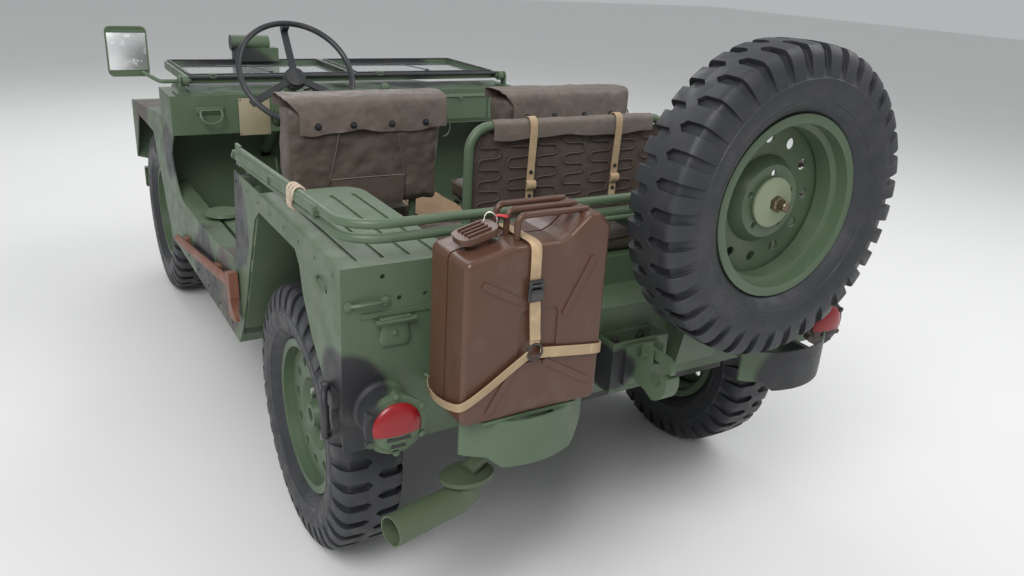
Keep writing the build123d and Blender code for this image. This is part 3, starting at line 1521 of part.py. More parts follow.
# Top bows: two bent tubes strapped together, hinged at the posts
bow_radius = 11
bow_inset = 19
bow_half_width = body_half_width - bow_inset
bow_pivot_y = b_post_y - 17
bow_pivot_height = rail_top + 26
bow_rise = 34
bow_spacing = 32
bow_rear_y = tail_y + 4
with BuildPart() as top_bows:
    for front_height in (bow_pivot_height, bow_pivot_height + bow_spacing):
        rear_height = front_height + bow_rise
        with BuildLine() as bow_line:
            FilletPolyline(
                (bow_half_width, bow_pivot_y + 16, front_height),
                (bow_half_width, bow_rear_y, rear_height),
                (-bow_half_width, bow_rear_y, rear_height),
                (-bow_half_width, bow_pivot_y + 16, front_height),
                radius=90,
            )
        with BuildSketch(Plane(origin=bow_line.line @ 0, z_dir=bow_line.line % 0)):
            Circle(bow_radius)
        sweep(path=bow_line.line)
    for side in sides.values():
        with BuildSketch(side_plane(side * (bow_half_width + 4))):
            with BuildLine():
                Polyline(
                    (bow_pivot_y - 18, bow_pivot_height + 4),
                    (tail_y - 170, bow_pivot_height + 42),
                    (tail_y - 170, bow_pivot_height + 66),
                    (bow_pivot_y - 18, bow_pivot_height + 28),
                    close=True,
                )
            make_face()
        extrude(amount=side * (bow_radius - 2))
        with BuildSketch(side_plane(side * (bow_half_width - 4))):
            with Locations((bow_pivot_y + 10, bow_pivot_height + 16)):
                Rectangle(50, 64)
            with Locations((bow_pivot_y, bow_pivot_height)):
                Circle(6 + running_gap, mode=Mode.SUBTRACT)
        extrude(amount=side * 8)
top_bows.part.label = "top_bows"
export_step(top_bows.part, "parts/top_bows.step")

# Bow brackets on the posts, with the pins the bows turn on
bracket_gap = 18
bracket_thickness = 8
bracket_x = bow_half_width - bracket_gap - bracket_thickness
bracket_foot_y = bow_pivot_y + 55
bracket_foot_height = rail_top - 28
bracket_foot_size = 36
with BuildPart() as bow_brackets:
    for side in sides.values():
        with BuildSketch(side_plane(side * bracket_x)):
            with BuildLine():
                Polyline(
                    (bow_pivot_y - 16, bow_pivot_height + 16),
                    (bow_pivot_y + 16, bow_pivot_height + 16),
                    (bracket_foot_y + 20, bracket_foot_height + 23),
                    (bracket_foot_y + 20, bracket_foot_height - 22),
                    (bracket_foot_y - 20, bracket_foot_height - 22),
                    (bow_pivot_y - 16, bow_pivot_height - 16),
                    close=True,
                )
            make_face()
        extrude(amount=side * bracket_thickness)
        with Locations((side * (bracket_x + skin_x) / 2, bracket_foot_y, bracket_foot_height)):
            Box(skin_x - bracket_x, bracket_foot_size, bracket_foot_size)
        with BuildSketch(side_plane(side * bracket_x)):
            with Locations((bow_pivot_y, bow_pivot_height)):
                Circle(6)
        extrude(amount=side * (bracket_gap + bracket_thickness + 3))
bow_brackets.part.label = "bow_brackets"
export_step(bow_brackets.part, "parts/bow_brackets.step")

# Mirror on its arm, outside the windshield hinge
mirror_x = 905
mirror_y = -520
mirror_height = 1198
with BuildPart() as mirror:
    with BuildSketch(cross_plane(mirror_y + 8)):
        with Locations((mirror_x, mirror_height)):
            RectangleRounded(150, 190, 22)
    extrude(amount=16)
    fillet(mirror.faces().sort_by(Axis.Y)[0].edges(), 8)
    with BuildSketch(cross_plane(mirror_y + 8)):
        with Locations((mirror_x, mirror_height)):
            RectangleRounded(136, 176, 16)
    extrude(amount=3, mode=Mode.SUBTRACT)
    with BuildLine() as arm_line:
        FilletPolyline(
            (ear_x + ear_thickness, hinge_y, hinge_height),
            (810, hinge_y, hinge_height),
            (870, mirror_y - 22, hinge_height + 30),
            (mirror_x, mirror_y - 22, mirror_height),
            radius=25,
        )
    with BuildSketch(Plane(origin=arm_line.line @ 0, z_dir=arm_line.line % 0)):
        Circle(8)
    sweep(path=arm_line.line)
    with BuildSketch(cross_plane(mirror_y - 6)):
        with Locations((mirror_x, mirror_height)):
            Circle(22)
    extrude(amount=28)
mirror.part.label = "mirror"
export_step(mirror.part, "parts/mirror.step")

# Axe clipped to the left sill: a wedge head on a sloping handle
axe_x = body_half_width + 20
axe_head_y = 600
axe_head_height = 612
with BuildPart() as axe:
    with BuildLine() as handle_line:
        Line((axe_x, -352, 473), (axe_x, axe_head_y + 20, axe_head_height + 8))
    with BuildSketch(Plane(origin=handle_line.line @ 0, z_dir=handle_line.line % 0)):
        Ellipse(18, 12)
    sweep(path=handle_line.line)
    # The head tapers in plan and flares to its edge, which points down.
    with BuildSketch(side_plane(axe_x - 14)):
        with BuildLine():
            Polyline((axe_head_y - 26, axe_head_height + 42), (axe_head_y + 26, axe_head_height + 52),
                     (axe_head_y + 32, axe_head_height - 30))
            ThreePointArc((axe_head_y + 32, axe_head_height - 30), (axe_head_y + 30, axe_head_height - 68),
                          (axe_head_y + 62, axe_head_height - 98))
            ThreePointArc((axe_head_y + 62, axe_head_height - 98), (axe_head_y + 2, axe_head_height - 118),
                          (axe_head_y - 56, axe_head_height - 116))
            ThreePointArc((axe_head_y - 56, axe_head_height - 116), (axe_head_y - 28, axe_head_height - 70),
                          (axe_head_y - 26, axe_head_height + 42))
        make_face()
    extrude(amount=28)
    for edge in (-1, 1):
        with BuildSketch(cross_plane(axe_head_y - 90)):
            with BuildLine():
                Polyline((axe_x + edge * 15, axe_head_height - 24), (axe_x + edge * 3, axe_head_height - 125),
                         (axe_x + edge * 25, axe_head_height - 125), (axe_x + edge * 25, axe_head_height - 24),
                         close=True)
            make_face()
        extrude(amount=-200, mode=Mode.SUBTRACT)
    for y, z in ((-200, 500), (350, 572)):
        with Locations((body_half_width + 8, y, z)):
            Box(16, 40, 50)
axe.part.label = "axe"
export_step(axe.part, "parts/axe.step")
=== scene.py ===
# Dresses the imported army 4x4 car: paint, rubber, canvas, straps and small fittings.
# The car's own frame: it faces -Y, +X is its left, +Z is up. The calls that make pieces take millimetres,
# and where a mesh's points are moved one by one, lengths are metres.
import json
from math import atan2, copysign, cos, exp, pi, radians, sin

import bpy
from mathutils import Matrix, Quaternion, Vector


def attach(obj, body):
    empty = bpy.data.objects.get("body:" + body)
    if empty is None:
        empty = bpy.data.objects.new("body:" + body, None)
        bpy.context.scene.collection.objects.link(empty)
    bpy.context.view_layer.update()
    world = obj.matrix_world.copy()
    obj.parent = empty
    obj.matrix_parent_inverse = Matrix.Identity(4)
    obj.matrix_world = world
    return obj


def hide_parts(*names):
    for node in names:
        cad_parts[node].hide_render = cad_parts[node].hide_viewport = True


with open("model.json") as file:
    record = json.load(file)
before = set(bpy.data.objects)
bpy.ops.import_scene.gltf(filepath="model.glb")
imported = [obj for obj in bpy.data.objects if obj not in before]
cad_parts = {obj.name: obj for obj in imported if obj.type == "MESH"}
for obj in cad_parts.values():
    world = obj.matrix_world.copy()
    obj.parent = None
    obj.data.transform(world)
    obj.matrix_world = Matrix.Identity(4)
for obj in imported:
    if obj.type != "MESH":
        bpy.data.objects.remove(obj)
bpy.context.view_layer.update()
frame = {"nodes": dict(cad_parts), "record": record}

nodes = frame["nodes"]
scene = bpy.context.scene
scene.view_settings.view_transform = "Standard"

# Camera, as solved from the photograph's wheels and body lines
CAMERA_PLACE = (1.3418, 3.1296, 1.6135)
CAMERA_HEADING = 3.6962
CAMERA_PITCH = -0.3731
CAMERA_ROLL = 0.0610
FOCAL_PIXELS = 836.67
PHOTO_WIDTH = 1024
SENSOR_WIDTH = 36.0


def set_camera():
    aim = Vector((
        sin(CAMERA_HEADING) * cos(CAMERA_PITCH),
        cos(CAMERA_HEADING) * cos(CAMERA_PITCH),
        sin(CAMERA_PITCH),
    ))
    turn = aim.to_track_quat("-Z", "Y") @ Quaternion((0, 0, 1), CAMERA_ROLL)
    bpy.ops.object.camera_add(location=CAMERA_PLACE, rotation=turn.to_euler())
    camera = bpy.context.object
    camera.data.sensor_width = SENSOR_WIDTH
    camera.data.lens = FOCAL_PIXELS * SENSOR_WIDTH / PHOTO_WIDTH
    scene.camera = camera


class Graph:
    """A material's node tree, with short calls for the nodes that the finishes use."""

    def __init__(self, name):
        self.material = bpy.data.materials.new(name)
        self.material.use_nodes = True
        self.tree = self.material.node_tree
        self.shader = self.tree.nodes["Principled BSDF"]
        self.place = self.add("TexCoord").outputs["Object"]

    def add(self, kind, values=None, **settings):
        """A new node. Each input that values names is set, or linked where its value is a socket."""
        node = self.tree.nodes.new("ShaderNode" + kind)
        for key, value in settings.items():
            setattr(node, key, value)
        for key, value in (values or {}).items():
            if isinstance(value, bpy.types.NodeSocket):
                self.tree.links.new(value, node.inputs[key])
            else:
                node.inputs[key].default_value = value
        return node

    def noise(self, scale, detail=4.0, rough=0.55, stretch=None, warp=0.0):
        place = self.place
        if stretch:
            place = self.add("Mapping", {"Scale": stretch, "Vector": place}).outputs["Vector"]
        return self.add("TexNoise", {
            "Scale": scale, "Detail": detail, "Roughness": rough, "Distortion": warp, "Vector": place,
        }).outputs["Fac"]

    def step(self, value, low, high, top=1.0, bottom=0.0):
        """The value taken from low..high to bottom..top, with soft ends."""
        return self.add("MapRange", {
            "From Min": low, "From Max": high, "To Min": bottom, "To Max": top, "Value": value,
        }, interpolation_type="SMOOTHSTEP").outputs["Result"]

    def calc(self, kind, first, second):
        return self.add("Math", {0: first, 1: second}, operation=kind).outputs["Value"]

    def mix(self, share, first, second):
        """Two colours blended by the share. Each one is a tuple or a socket."""
        first, second = ((*c, 1) if isinstance(c, tuple) else c for c in (first, second))
        return self.add("Mix", {0: share, 6: first, 7: second}, data_type="RGBA").outputs[2]

    def cover(self, mask, share, below, above):
        """The colour below, with this share of the one above where the mask is full."""
        return self.mix(self.calc("MULTIPLY", mask, share), below, above)

    def bump(self, height, strength, distance):
        """A bump laid over the bumps that are already there."""
        normal = self.shader.inputs["Normal"]
        node = self.add("Bump", {"Strength": strength, "Distance": distance, "Height": height})
        if normal.is_linked:
            self.tree.links.new(normal.links[0].from_socket, node.inputs["Normal"])
        self.tree.links.new(node.outputs["Normal"], normal)

    def colour(self, value):
        self.tree.links.new(value, self.shader.inputs["Base Color"])

    def roughness(self, scale, top, bottom, low=0.3, high=0.7, detail=4.0):
        """Roughness that wanders between bottom and top with the noise of this scale."""
        value = self.step(self.noise(scale, detail=detail), low, high, top=top, bottom=bottom)
        self.tree.links.new(value, self.shader.inputs["Roughness"])

    def set(self, **values):
        for key, value in values.items():
            self.shader.inputs[key.replace("_", " ")].default_value = value


# Paint colours
GREEN = (0.088, 0.132, 0.076)
BROWN = (0.060, 0.045, 0.038)
BLACK = (0.026, 0.027, 0.030)
CAN_BROWN = (0.098, 0.045, 0.028)
CANVAS = (0.105, 0.082, 0.066)
WEBBING = (0.42, 0.30, 0.18)
RUBBER = (0.021, 0.022, 0.026)
RUBBER_DUST = (0.12, 0.11, 0.10)
DUST = (0.20, 0.18, 0.15)
CHIPPED = (0.35, 0.38, 0.33)
RUST = (0.16, 0.07, 0.035)
GLASS_DIRT = (0.5, 0.47, 0.42)

# Sprayed patches of the camouflage: a middle and a radius in metres, and a colour
PATCHES = (
    ((0.80, 1.53, 0.66), 0.13, BLACK),
    ((0.79, 0.62, 0.84), 0.17, BLACK),
    ((0.79, 0.42, 0.52), 0.15, BROWN),
    ((0.90, -0.52, 0.80), 0.17, BLACK),
    ((0.79, -1.22, 0.90), 0.24, BROWN),
    ((0.24, 1.80, 0.60), 0.06, BLACK),
    ((0.075, 1.585, 0.640), 0.075, BLACK),
    ((-0.42, 1.80, 0.60), 0.15, BLACK),
    ((-0.70, 1.62, 0.66), 0.11, BROWN),
    ((-0.79, 1.10, 0.85), 0.30, BLACK),
    ((-0.79, -0.20, 0.55), 0.34, BROWN),
    ((-0.79, -0.95, 0.85), 0.28, BLACK),
    ((-0.30, -1.45, 0.80), 0.30, BROWN),
    ((0.42, -1.10, 0.98), 0.32, BLACK),
    ((-0.35, -0.75, 1.02), 0.30, BLACK),
    ((-0.65, 1.25, 0.99), 0.22, BROWN),
    ((0.79, 0.10, 0.45), 0.20, BLACK),
    ((0.10, 0.86, 0.60), 0.26, BROWN),
)


def tinted(colour, share):
    return tuple(min(1, share * c) for c in colour)


def camouflage(graph):
    """Green with brown and black patches that have soft, wandering edges."""
    wander = graph.noise(3.0, detail=3.0)
    colour = graph.mix(graph.noise(1.4, detail=2.0), tinted(GREEN, 0.90), tinted(GREEN, 1.12))
    for centre, radius, paint in PATCHES:
        distance = graph.add("VectorMath", {0: graph.place, 1: centre}, operation="DISTANCE")
        reach = graph.calc("ADD", distance.outputs["Value"], graph.calc("MULTIPLY", wander, 0.8 * radius))
        share = graph.step(reach, 1.25 * radius, 1.45 * radius, top=0.0, bottom=1.0)
        colour = graph.mix(share, colour, paint)
    return colour


def painted(name, base=None, gloss=0.50, chips=True):
    """Flat military paint with dust, scratches to pale metal and a slight orange peel."""
    graph = Graph(name)
    colour = graph.mix(graph.noise(2.0, detail=3.0), tinted(base, 0.88), tinted(base, 1.12)) if base \
        else camouflage(graph)
    stains = graph.step(graph.noise(9.0, detail=6.0, rough=0.65), 0.52, 0.78)
    colour = graph.cover(stains, 0.22, colour, DUST)
    if chips:
        scratch = graph.step(graph.noise(60.0, detail=6.0, rough=0.7, stretch=(1, 1, 0.16)), 0.71, 0.77)
        colour = graph.cover(scratch, 0.35, colour, CHIPPED)
    graph.colour(colour)
    graph.roughness(14.0, gloss + 0.14, gloss - 0.08, high=0.8, detail=5.0)
    graph.bump(graph.noise(420.0, detail=2.0), 0.10, 0.0004)
    graph.bump(graph.noise(7.0, detail=3.0), 0.10, 0.004)
    return graph.material


def rubber(name):
    graph = Graph(name)
    dusty = graph.step(graph.noise(11.0, detail=6.0, rough=0.7), 0.45, 0.80)
    colour = graph.mix(graph.noise(5.0), RUBBER, tinted(RUBBER, 1.5))
    graph.colour(graph.cover(dusty, 0.22, colour, RUBBER_DUST))
    graph.roughness(30.0, 0.62, 0.40)
    graph.bump(graph.noise(260.0, detail=3.0), 0.15, 0.0006)
    return graph.material


def canvas(name, base, gloss=0.55):
    """Coated canvas: a fine plain weave, pale along its creases from wear and from painted sheen."""
    graph = Graph(name)
    wear_and_sheen = graph.step(graph.noise(16.0, detail=7.0, rough=0.7, warp=0.6), 0.50, 0.75)
    colour = graph.mix(graph.noise(4.0, detail=3.0), tinted(base, 0.80), tinted(base, 1.2))
    # The pale patches are partly real wear and partly painted sheen, a painted highlight on the canvas.
    graph.colour(graph.cover(wear_and_sheen, 0.35, colour, tinted(base, 2.1)))
    graph.roughness(22.0, gloss + 0.15, gloss - 0.10)
    for direction in ("X", "Z"):
        threads = graph.add("TexWave", {"Scale": 260.0, "Vector": graph.place},
                            bands_direction=direction)
        graph.bump(threads.outputs["Fac"], 0.20, 0.0004)
    graph.bump(graph.noise(18.0, detail=5.0, warp=0.8), 0.35, 0.006)
    return graph.material


def bare_steel(name, base=(0.42, 0.41, 0.38), rust=0.25):
    graph = Graph(name)
    rusty = graph.step(graph.noise(38.0, detail=7.0, rough=0.7), 0.50, 0.72)
    graph.colour(graph.cover(rusty, rust, base, RUST))
    graph.set(Metallic=0.9)
    dull = graph.step(rusty, 0.0, 1.0, top=0.75, bottom=0.34)
    graph.tree.links.new(dull, graph.shader.inputs["Roughness"])
    graph.bump(graph.noise(150.0, detail=4.0), 0.15, 0.0006)
    return graph.material


def clear_glass(name, base=(0.86, 0.93, 0.90), gloss=0.03):
    graph = Graph(name)
    dirt = graph.step(graph.noise(12.0, detail=6.0, rough=0.7), 0.55, 0.85)
    graph.colour(graph.cover(dirt, 0.12, base, GLASS_DIRT))
    graph.set(Transmission_Weight=0.95, IOR=1.45, Roughness=gloss)
    return graph.material


def red_lens(name):
    graph = Graph(name)
    graph.colour(graph.mix(graph.noise(8.0), (0.36, 0.008, 0.012), (0.22, 0.005, 0.009)))
    graph.set(Roughness=0.30, Coat_Weight=0.15, Transmission_Weight=0.10)
    ribs = graph.add("TexVoronoi", {"Scale": 220.0, "Vector": graph.place})
    graph.bump(ribs.outputs["Distance"], 0.12, 0.0008)
    return graph.material


camo_finish = painted("camouflage_paint")
dark_finish = painted("underbody_paint", (0.030, 0.033, 0.027), 0.62)
can_finish = painted("can_paint", CAN_BROWN, 0.36)
wheel_finish = painted("wheel_paint", GREEN, 0.42)
rubber_finish = rubber("tyre_rubber")
seat_finish = canvas("seat_canvas", CANVAS, 0.48)
steel_finish = bare_steel("bare_steel")
pipe_finish = painted("tail_pipe_paint", (0.085, 0.115, 0.065), 0.55)
rust_finish = bare_steel("exhaust_steel", (0.20, 0.16, 0.11), 0.6)
black_finish = painted("steering_black", (0.022, 0.024, 0.028), 0.38, chips=False)
glass_finish = clear_glass("pane_glass")
handle_finish = painted("axe_handle_paint", (0.19, 0.075, 0.045), 0.5)
iron_finish = bare_steel("engine_iron", (0.10, 0.10, 0.10), 0.4)
# A lighter copy of the seat canvas, a painted highlight for canvas in the light: the flaps and the seams.
lit_canvas_finish = canvas("lit_flap_canvas", (0.150, 0.120, 0.100), 0.5)
brown_canvas_finish = canvas("backrest_canvas", (0.085, 0.062, 0.050), 0.55)
webbing_finish = canvas("tan_webbing", WEBBING, 0.7)
bag_finish = canvas("tan_bag_canvas", (0.36, 0.23, 0.13), 0.75)
cord_finish = canvas("cream_cord", (0.52, 0.42, 0.32), 0.7)
red_paint = painted("red_paint", (0.50, 0.02, 0.03), 0.45, chips=False)
pale_steel = bare_steel("pale_steel", (0.50, 0.49, 0.46), 0.1)
rubber_trim_finish = rubber("rubber_trim")
pale_paint = painted("pale_plate_paint", (0.26, 0.30, 0.20), 0.5)
mirror_finish = bare_steel("mirror_glass", (0.80, 0.82, 0.82), 0.0)
lens_finish = red_lens("tail_lens_red")
amber_finish = painted("marker_amber", (0.45, 0.14, 0.02), 0.2, chips=False)
dark_lens_finish = painted("blackout_glass", (0.02, 0.02, 0.02), 0.2, chips=False)
pane_finish = clear_glass("lamp_glass", (0.90, 0.93, 0.92), 0.04)
plate_finish = painted("blank_plate", (0.36, 0.31, 0.20), 0.5, chips=False)
dial_finish = painted("dial_face", (0.012, 0.012, 0.014), 0.25, chips=False)

SLOT_FINISH = {
    "olive_paint": camo_finish, "rim_paint": wheel_finish, "tyre_rubber": rubber_finish,
    "underframe_paint": dark_finish, "engine_iron": iron_finish, "canvas": seat_finish,
    "pane_glass": glass_finish, "lamp_housing": camo_finish, "exhaust_steel": rust_finish,
    "latch_steel": camo_finish, "wheel_plastic": black_finish, "axe_paint": handle_finish,
}
NODE_FINISH = {"fuel_can": can_finish, "exhaust": pipe_finish}


def finish_nodes():
    """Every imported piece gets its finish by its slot, or its own one."""
    for entry in frame["record"]["subparts"]:
        name = entry["node"]
        piece = nodes[name]
        piece.data.materials.clear()
        piece.data.materials.append(NODE_FINISH.get(name, SLOT_FINISH[entry["material_slot"]]))


UP, REAR, FRONT, LEFT, RIGHT = (0, 0, 1), (0, 1, 0), (0, -1, 0), (1, 0, 0), (-1, 0, 0)
SIDES = ((1, "left"), (-1, "right"))
ORIGIN = (0, 0, 0)
# Angles in degrees up to which edges are shaded smooth
HARD, DOMED, SOFT, TREAD_SMOOTH = 35, 50, 60, 30
PICK_MODES = {
    "vertices": (True, False, False), "edges": (False, True, False), "polygons": (False, False, True),
}


def metres(value):
    """A length, a point or a list of points taken from millimetres to metres."""
    return value / 1000 if isinstance(value, (int, float)) else tuple(metres(part) for part in value)


# Making pieces by hand: everything is let go first, then the work is on one piece
def leave_edit():
    bpy.ops.object.mode_set(mode="OBJECT")


def let_go():
    if bpy.context.object and bpy.context.object.mode != "OBJECT":
        leave_edit()
    bpy.ops.object.select_all(action="DESELECT")


def take(piece):
    let_go()
    piece.select_set(True)
    bpy.context.view_layer.objects.active = piece


def open_whole():
    """Edit mode with all of the piece picked."""
    bpy.ops.object.mode_set(mode="EDIT")
    bpy.ops.mesh.select_all(action="SELECT")


def pick(piece, kind, test):
    """Opens the piece in edit mode with only what passes the test picked."""
    if piece.mode != "OBJECT":
        leave_edit()
    for group in (piece.data.vertices, piece.data.edges, piece.data.polygons):
        group.foreach_set("select", [False] * len(group))
    scene.tool_settings.mesh_select_mode = PICK_MODES[kind]
    group = getattr(piece.data, kind)
    group.foreach_set("select", [bool(test(item)) for item in group])
    bpy.ops.object.mode_set(mode="EDIT")


def draw_out(way):
    """Extrudes what is picked along the way, given in metres."""
    bpy.ops.mesh.extrude_region_move(TRANSFORM_OT_translate={"value": way})


def put_in_mesh():
    bpy.ops.object.transform_apply(location=True, rotation=True, scale=True)


def apply(piece, kind, **settings):
    take(piece)
    modifier = piece.modifiers.new(kind.title(), kind)
    for key, value in settings.items():
        setattr(modifier, key, value)
    bpy.ops.object.modifier_apply(modifier=modifier.name)


def join(pieces):
    let_go()
    for piece in pieces:
        piece.select_set(True)
    bpy.context.view_layer.objects.active = pieces[0]
    if len(pieces) > 1:
        bpy.ops.object.join()
    return pieces[0]


def finish(piece, name, material=camo_finish, body="body", smooth=HARD):
    piece = join(piece) if isinstance(piece, list) else piece
    take(piece)
    put_in_mesh()
    bpy.ops.object.shade_smooth_by_angle(angle=radians(smooth))
    piece.name = name
    piece.data.name = name
    piece.data.materials.clear()
    piece.data.materials.append(material)
    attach(piece, body)
    return piece


def outward(piece):
    take(piece)
    open_whole()
    bpy.ops.mesh.normals_make_consistent(inside=False)
    leave_edit()


def block(low, high, round_off=2, steps=2):
    """A box with its edges taken off."""
    low, high, round_off = metres((low, high, round_off))
    let_go()
    size = [b - a for a, b in zip(low, high)]
    bpy.ops.mesh.primitive_cube_add(size=1, location=[(a + b) / 2 for a, b in zip(low, high)])
    piece = bpy.context.object
    piece.scale = size
    put_in_mesh()
    open_whole()
    bpy.ops.mesh.bevel(offset=min(round_off, 0.45 * min(size)), segments=steps, affect="EDGES")
    leave_edit()
    return piece


def extrude_rings(radius, height, rings):
    """Draws the picked end out along Z ring by ring, each ring (radius, height)."""
    for new_radius, new_height in rings:
        draw_out((0, 0, new_height - height))
        share = new_radius / radius
        bpy.ops.transform.resize(value=(share, share, 1))
        radius, height = new_radius, new_height


def turned(profile, centre=ORIGIN, axis=UP, sides=32):
    """A turned part: a disc drawn out ring by ring. The profile is (radius, height) from its foot."""
    profile, centre = metres((profile, centre))
    let_go()
    radius, height = profile[0]
    bpy.ops.mesh.primitive_circle_add(vertices=sides, radius=radius, fill_type="NGON")
    piece = bpy.context.object
    open_whole()
    bpy.ops.mesh.flip_normals()
    bpy.ops.transform.translate(value=(0, 0, height))
    extrude_rings(radius, height, profile[1:])
    leave_edit()
    outward(piece)
    piece.rotation_euler = facing(axis).to_euler()
    piece.location = centre
    put_in_mesh()
    return piece


def tube(points, radius, sides=8, ring=False):
    """A bent rod along a smooth line through or near the points."""
    points, radius = metres((points, radius))
    let_go()
    bpy.ops.curve.primitive_nurbs_path_add()
    piece = bpy.context.object
    piece.data.splines.clear()
    spline = piece.data.splines.new("NURBS")
    spline.points.add(len(points) - 1)
    for point, place in zip(spline.points, points):
        point.co = (*place, 1)
    spline.order_u = 3
    spline.use_endpoint_u = not ring
    spline.use_cyclic_u = ring
    piece.data.bevel_depth = radius
    piece.data.bevel_resolution = max(1, sides // 4 - 1)
    piece.data.use_fill_caps = not ring
    piece.data.resolution_u = 6
    bpy.ops.object.convert(target="MESH")
    piece = bpy.context.object
    outward(piece)
    return piece


def strap(points, across, width=25, thick=2.2):
    """A flat webbing strap: a strip drawn out point by point, then given its thickness."""
    points, width, thick = metres((points, width, thick))
    let_go()
    bpy.ops.mesh.primitive_plane_add(size=1)
    piece = bpy.context.object
    half = Vector(across).normalized() * width / 2
    low = [v for v in piece.data.vertices if v.co.x < 0]
    high = [v for v in piece.data.vertices if v.co.x > 0]
    for (a, b), place in ((low, Vector(points[0])), (high, Vector(points[1]))):
        near, far = (a, b) if a.co.y < b.co.y else (b, a)
        near.co, far.co = place - half, place + half
    last = [v.index for v in high]
    for start, end in zip(points[1:], points[2:]):
        pick(piece, "edges", lambda edge: set(edge.vertices) == set(last))
        draw_out(Vector(end) - Vector(start))
        leave_edit()
        last = [v.index for v in piece.data.vertices if v.select]
    apply(piece, "SUBSURF", levels=1, render_levels=1, boundary_smooth="PRESERVE_CORNERS")
    apply(piece, "SOLIDIFY", thickness=thick, offset=0)
    apply(piece, "BEVEL", width=0.0006, segments=1, limit_method="ANGLE")
    return piece


def facing(axis):
    return Vector(axis).to_track_quat("Z", "Y")


def twin(master, centre, axis):
    """A copy with its own mesh, at the centre and with its Z side turned to the axis."""
    piece = master.copy()
    piece.data = master.data.copy()
    scene.collection.objects.link(piece)
    piece.matrix_world = Matrix.Translation(metres(centre)) @ facing(axis).to_matrix().to_4x4()
    return piece


def copies(master, places):
    """Copies of a small part at each (centre, axis), joined to one piece. The part itself goes."""
    made = [twin(master, centre, axis) for centre, axis in places]
    bpy.data.objects.remove(master)
    whole = join(made)
    take(whole)
    put_in_mesh()
    return whole


def ring_of(profile, centre, circle, angles, axis, sides):
    """Turned parts on a circle about the centre in the XZ plane."""
    x, y, z = centre
    return [turned(profile, (x + circle * cos(radians(a)), y, z + circle * sin(radians(a))),
                   axis, sides) for a in angles]


def hex_bolt(radius):
    """A washer and a six-sided head with its corners taken off."""
    washer = turned([(1.45 * radius, 0), (1.45 * radius, 1.4), (1.3 * radius, 2)], sides=16)
    head = turned([(1.12 * radius, 1.8), (1.12 * radius, 0.55 * radius + 2),
                   (0.92 * radius, 0.7 * radius + 2)], sides=6)
    return join([washer, head])


def rivet(radius):
    return turned([(radius, 0), (0.92 * radius, 0.3 * radius), (0.55 * radius, 0.55 * radius)], sides=10)


def sunk(piece, border, depth):
    """Sinks the piece's rear face, apart from a border."""
    border, depth = metres((border, depth))
    pick(piece, "polygons", lambda face: face.normal.y > 0.9)
    bpy.ops.mesh.inset(thickness=border)
    draw_out((0, -depth, 0))
    return piece


def part_lens(profile, centre, axis, sides, level, upper):
    """A domed disc cut off level, with its upper or lower part kept."""
    piece = turned(profile, centre, axis, sides)
    open_whole()
    bpy.ops.mesh.bisect(plane_co=metres((*centre[:2], level)), plane_no=UP, clear_inner=upper,
                        clear_outer=not upper, use_fill=True)
    leave_edit()
    return piece


# Tyres, in metres: a round-shouldered casing with grooves cut into both halves
TYRE_RADIUS = 0.380
LUG_PITCHES = 36
PITCH_SECTORS = 5        # sectors of the casing in one pitch, of which the last two are a groove
GROOVE_SECTOR = 3
OTHER_HALF_SHIFT = 3     # sectors by which the grooves of the two halves are apart
SECTORS = PITCH_SECTORS * LUG_PITCHES
GROOVE_DEPTH = 0.014
CROWN_HALF = 0.056
CROWN_DROP = 0.0022
TREAD_CUT = 0.038
GROOVE_START = 0.020
GROOVE_POINT = 0.30      # share of GROOVE_START where a groove's inner end runs to a point
GROOVE_END = 0.306
GROOVE_FULL = 0.344      # radius where the grooves begin to grow shallow towards their lower ends
GROOVE_RISE = 0.94       # share of the depth that is given back where a groove is at its shallowest
LEAN_START, LEAN_RUN = 0.050, 0.030
WALL_LEAN = radians(80)
TREAD_FOOT = 0.37        # the tread's points lie outside this radius
BEAD_RADIUS = 0.2085
CLOSE = 0.001
# Shoulder and sidewall, drawn out from each end: (radius, distance from the middle plane)
TYRE_WALL = (
    (0.3765, 0.066), (0.371, 0.0735), (0.363, 0.08), (0.352, 0.085), (0.34, 0.088), (0.328, 0.09),
    (0.317, 0.0912), (0.306, 0.092), (0.305, 0.0932), (0.298, 0.0932), (0.285, 0.0925), (0.262, 0.087),
    (0.261, 0.0882), (0.254, 0.087), (0.253, 0.0845), (0.238, 0.074), (0.228, 0.06), (0.223, 0.0555),
    (0.208, 0.054),
)


def around(place):
    """Share of a whole turn about the tyre's axis."""
    return (atan2(place.y, place.x) / (2 * pi)) % 1.0


def in_pitch(place, sector):
    """Number of the sector, or of the border before it, within its pitch."""
    return (sector + (0 if place.z > 0 else OTHER_HALF_SHIFT)) % PITCH_SECTORS


def is_groove(face):
    place = face.center
    return (abs(place.z) > 0.5 * GROOVE_START and place.xy.length > GROOVE_END
            and in_pitch(place, int(around(place) * SECTORS)) >= GROOVE_SECTOR)


def clamped(value):
    return min(1.0, max(0.0, value))


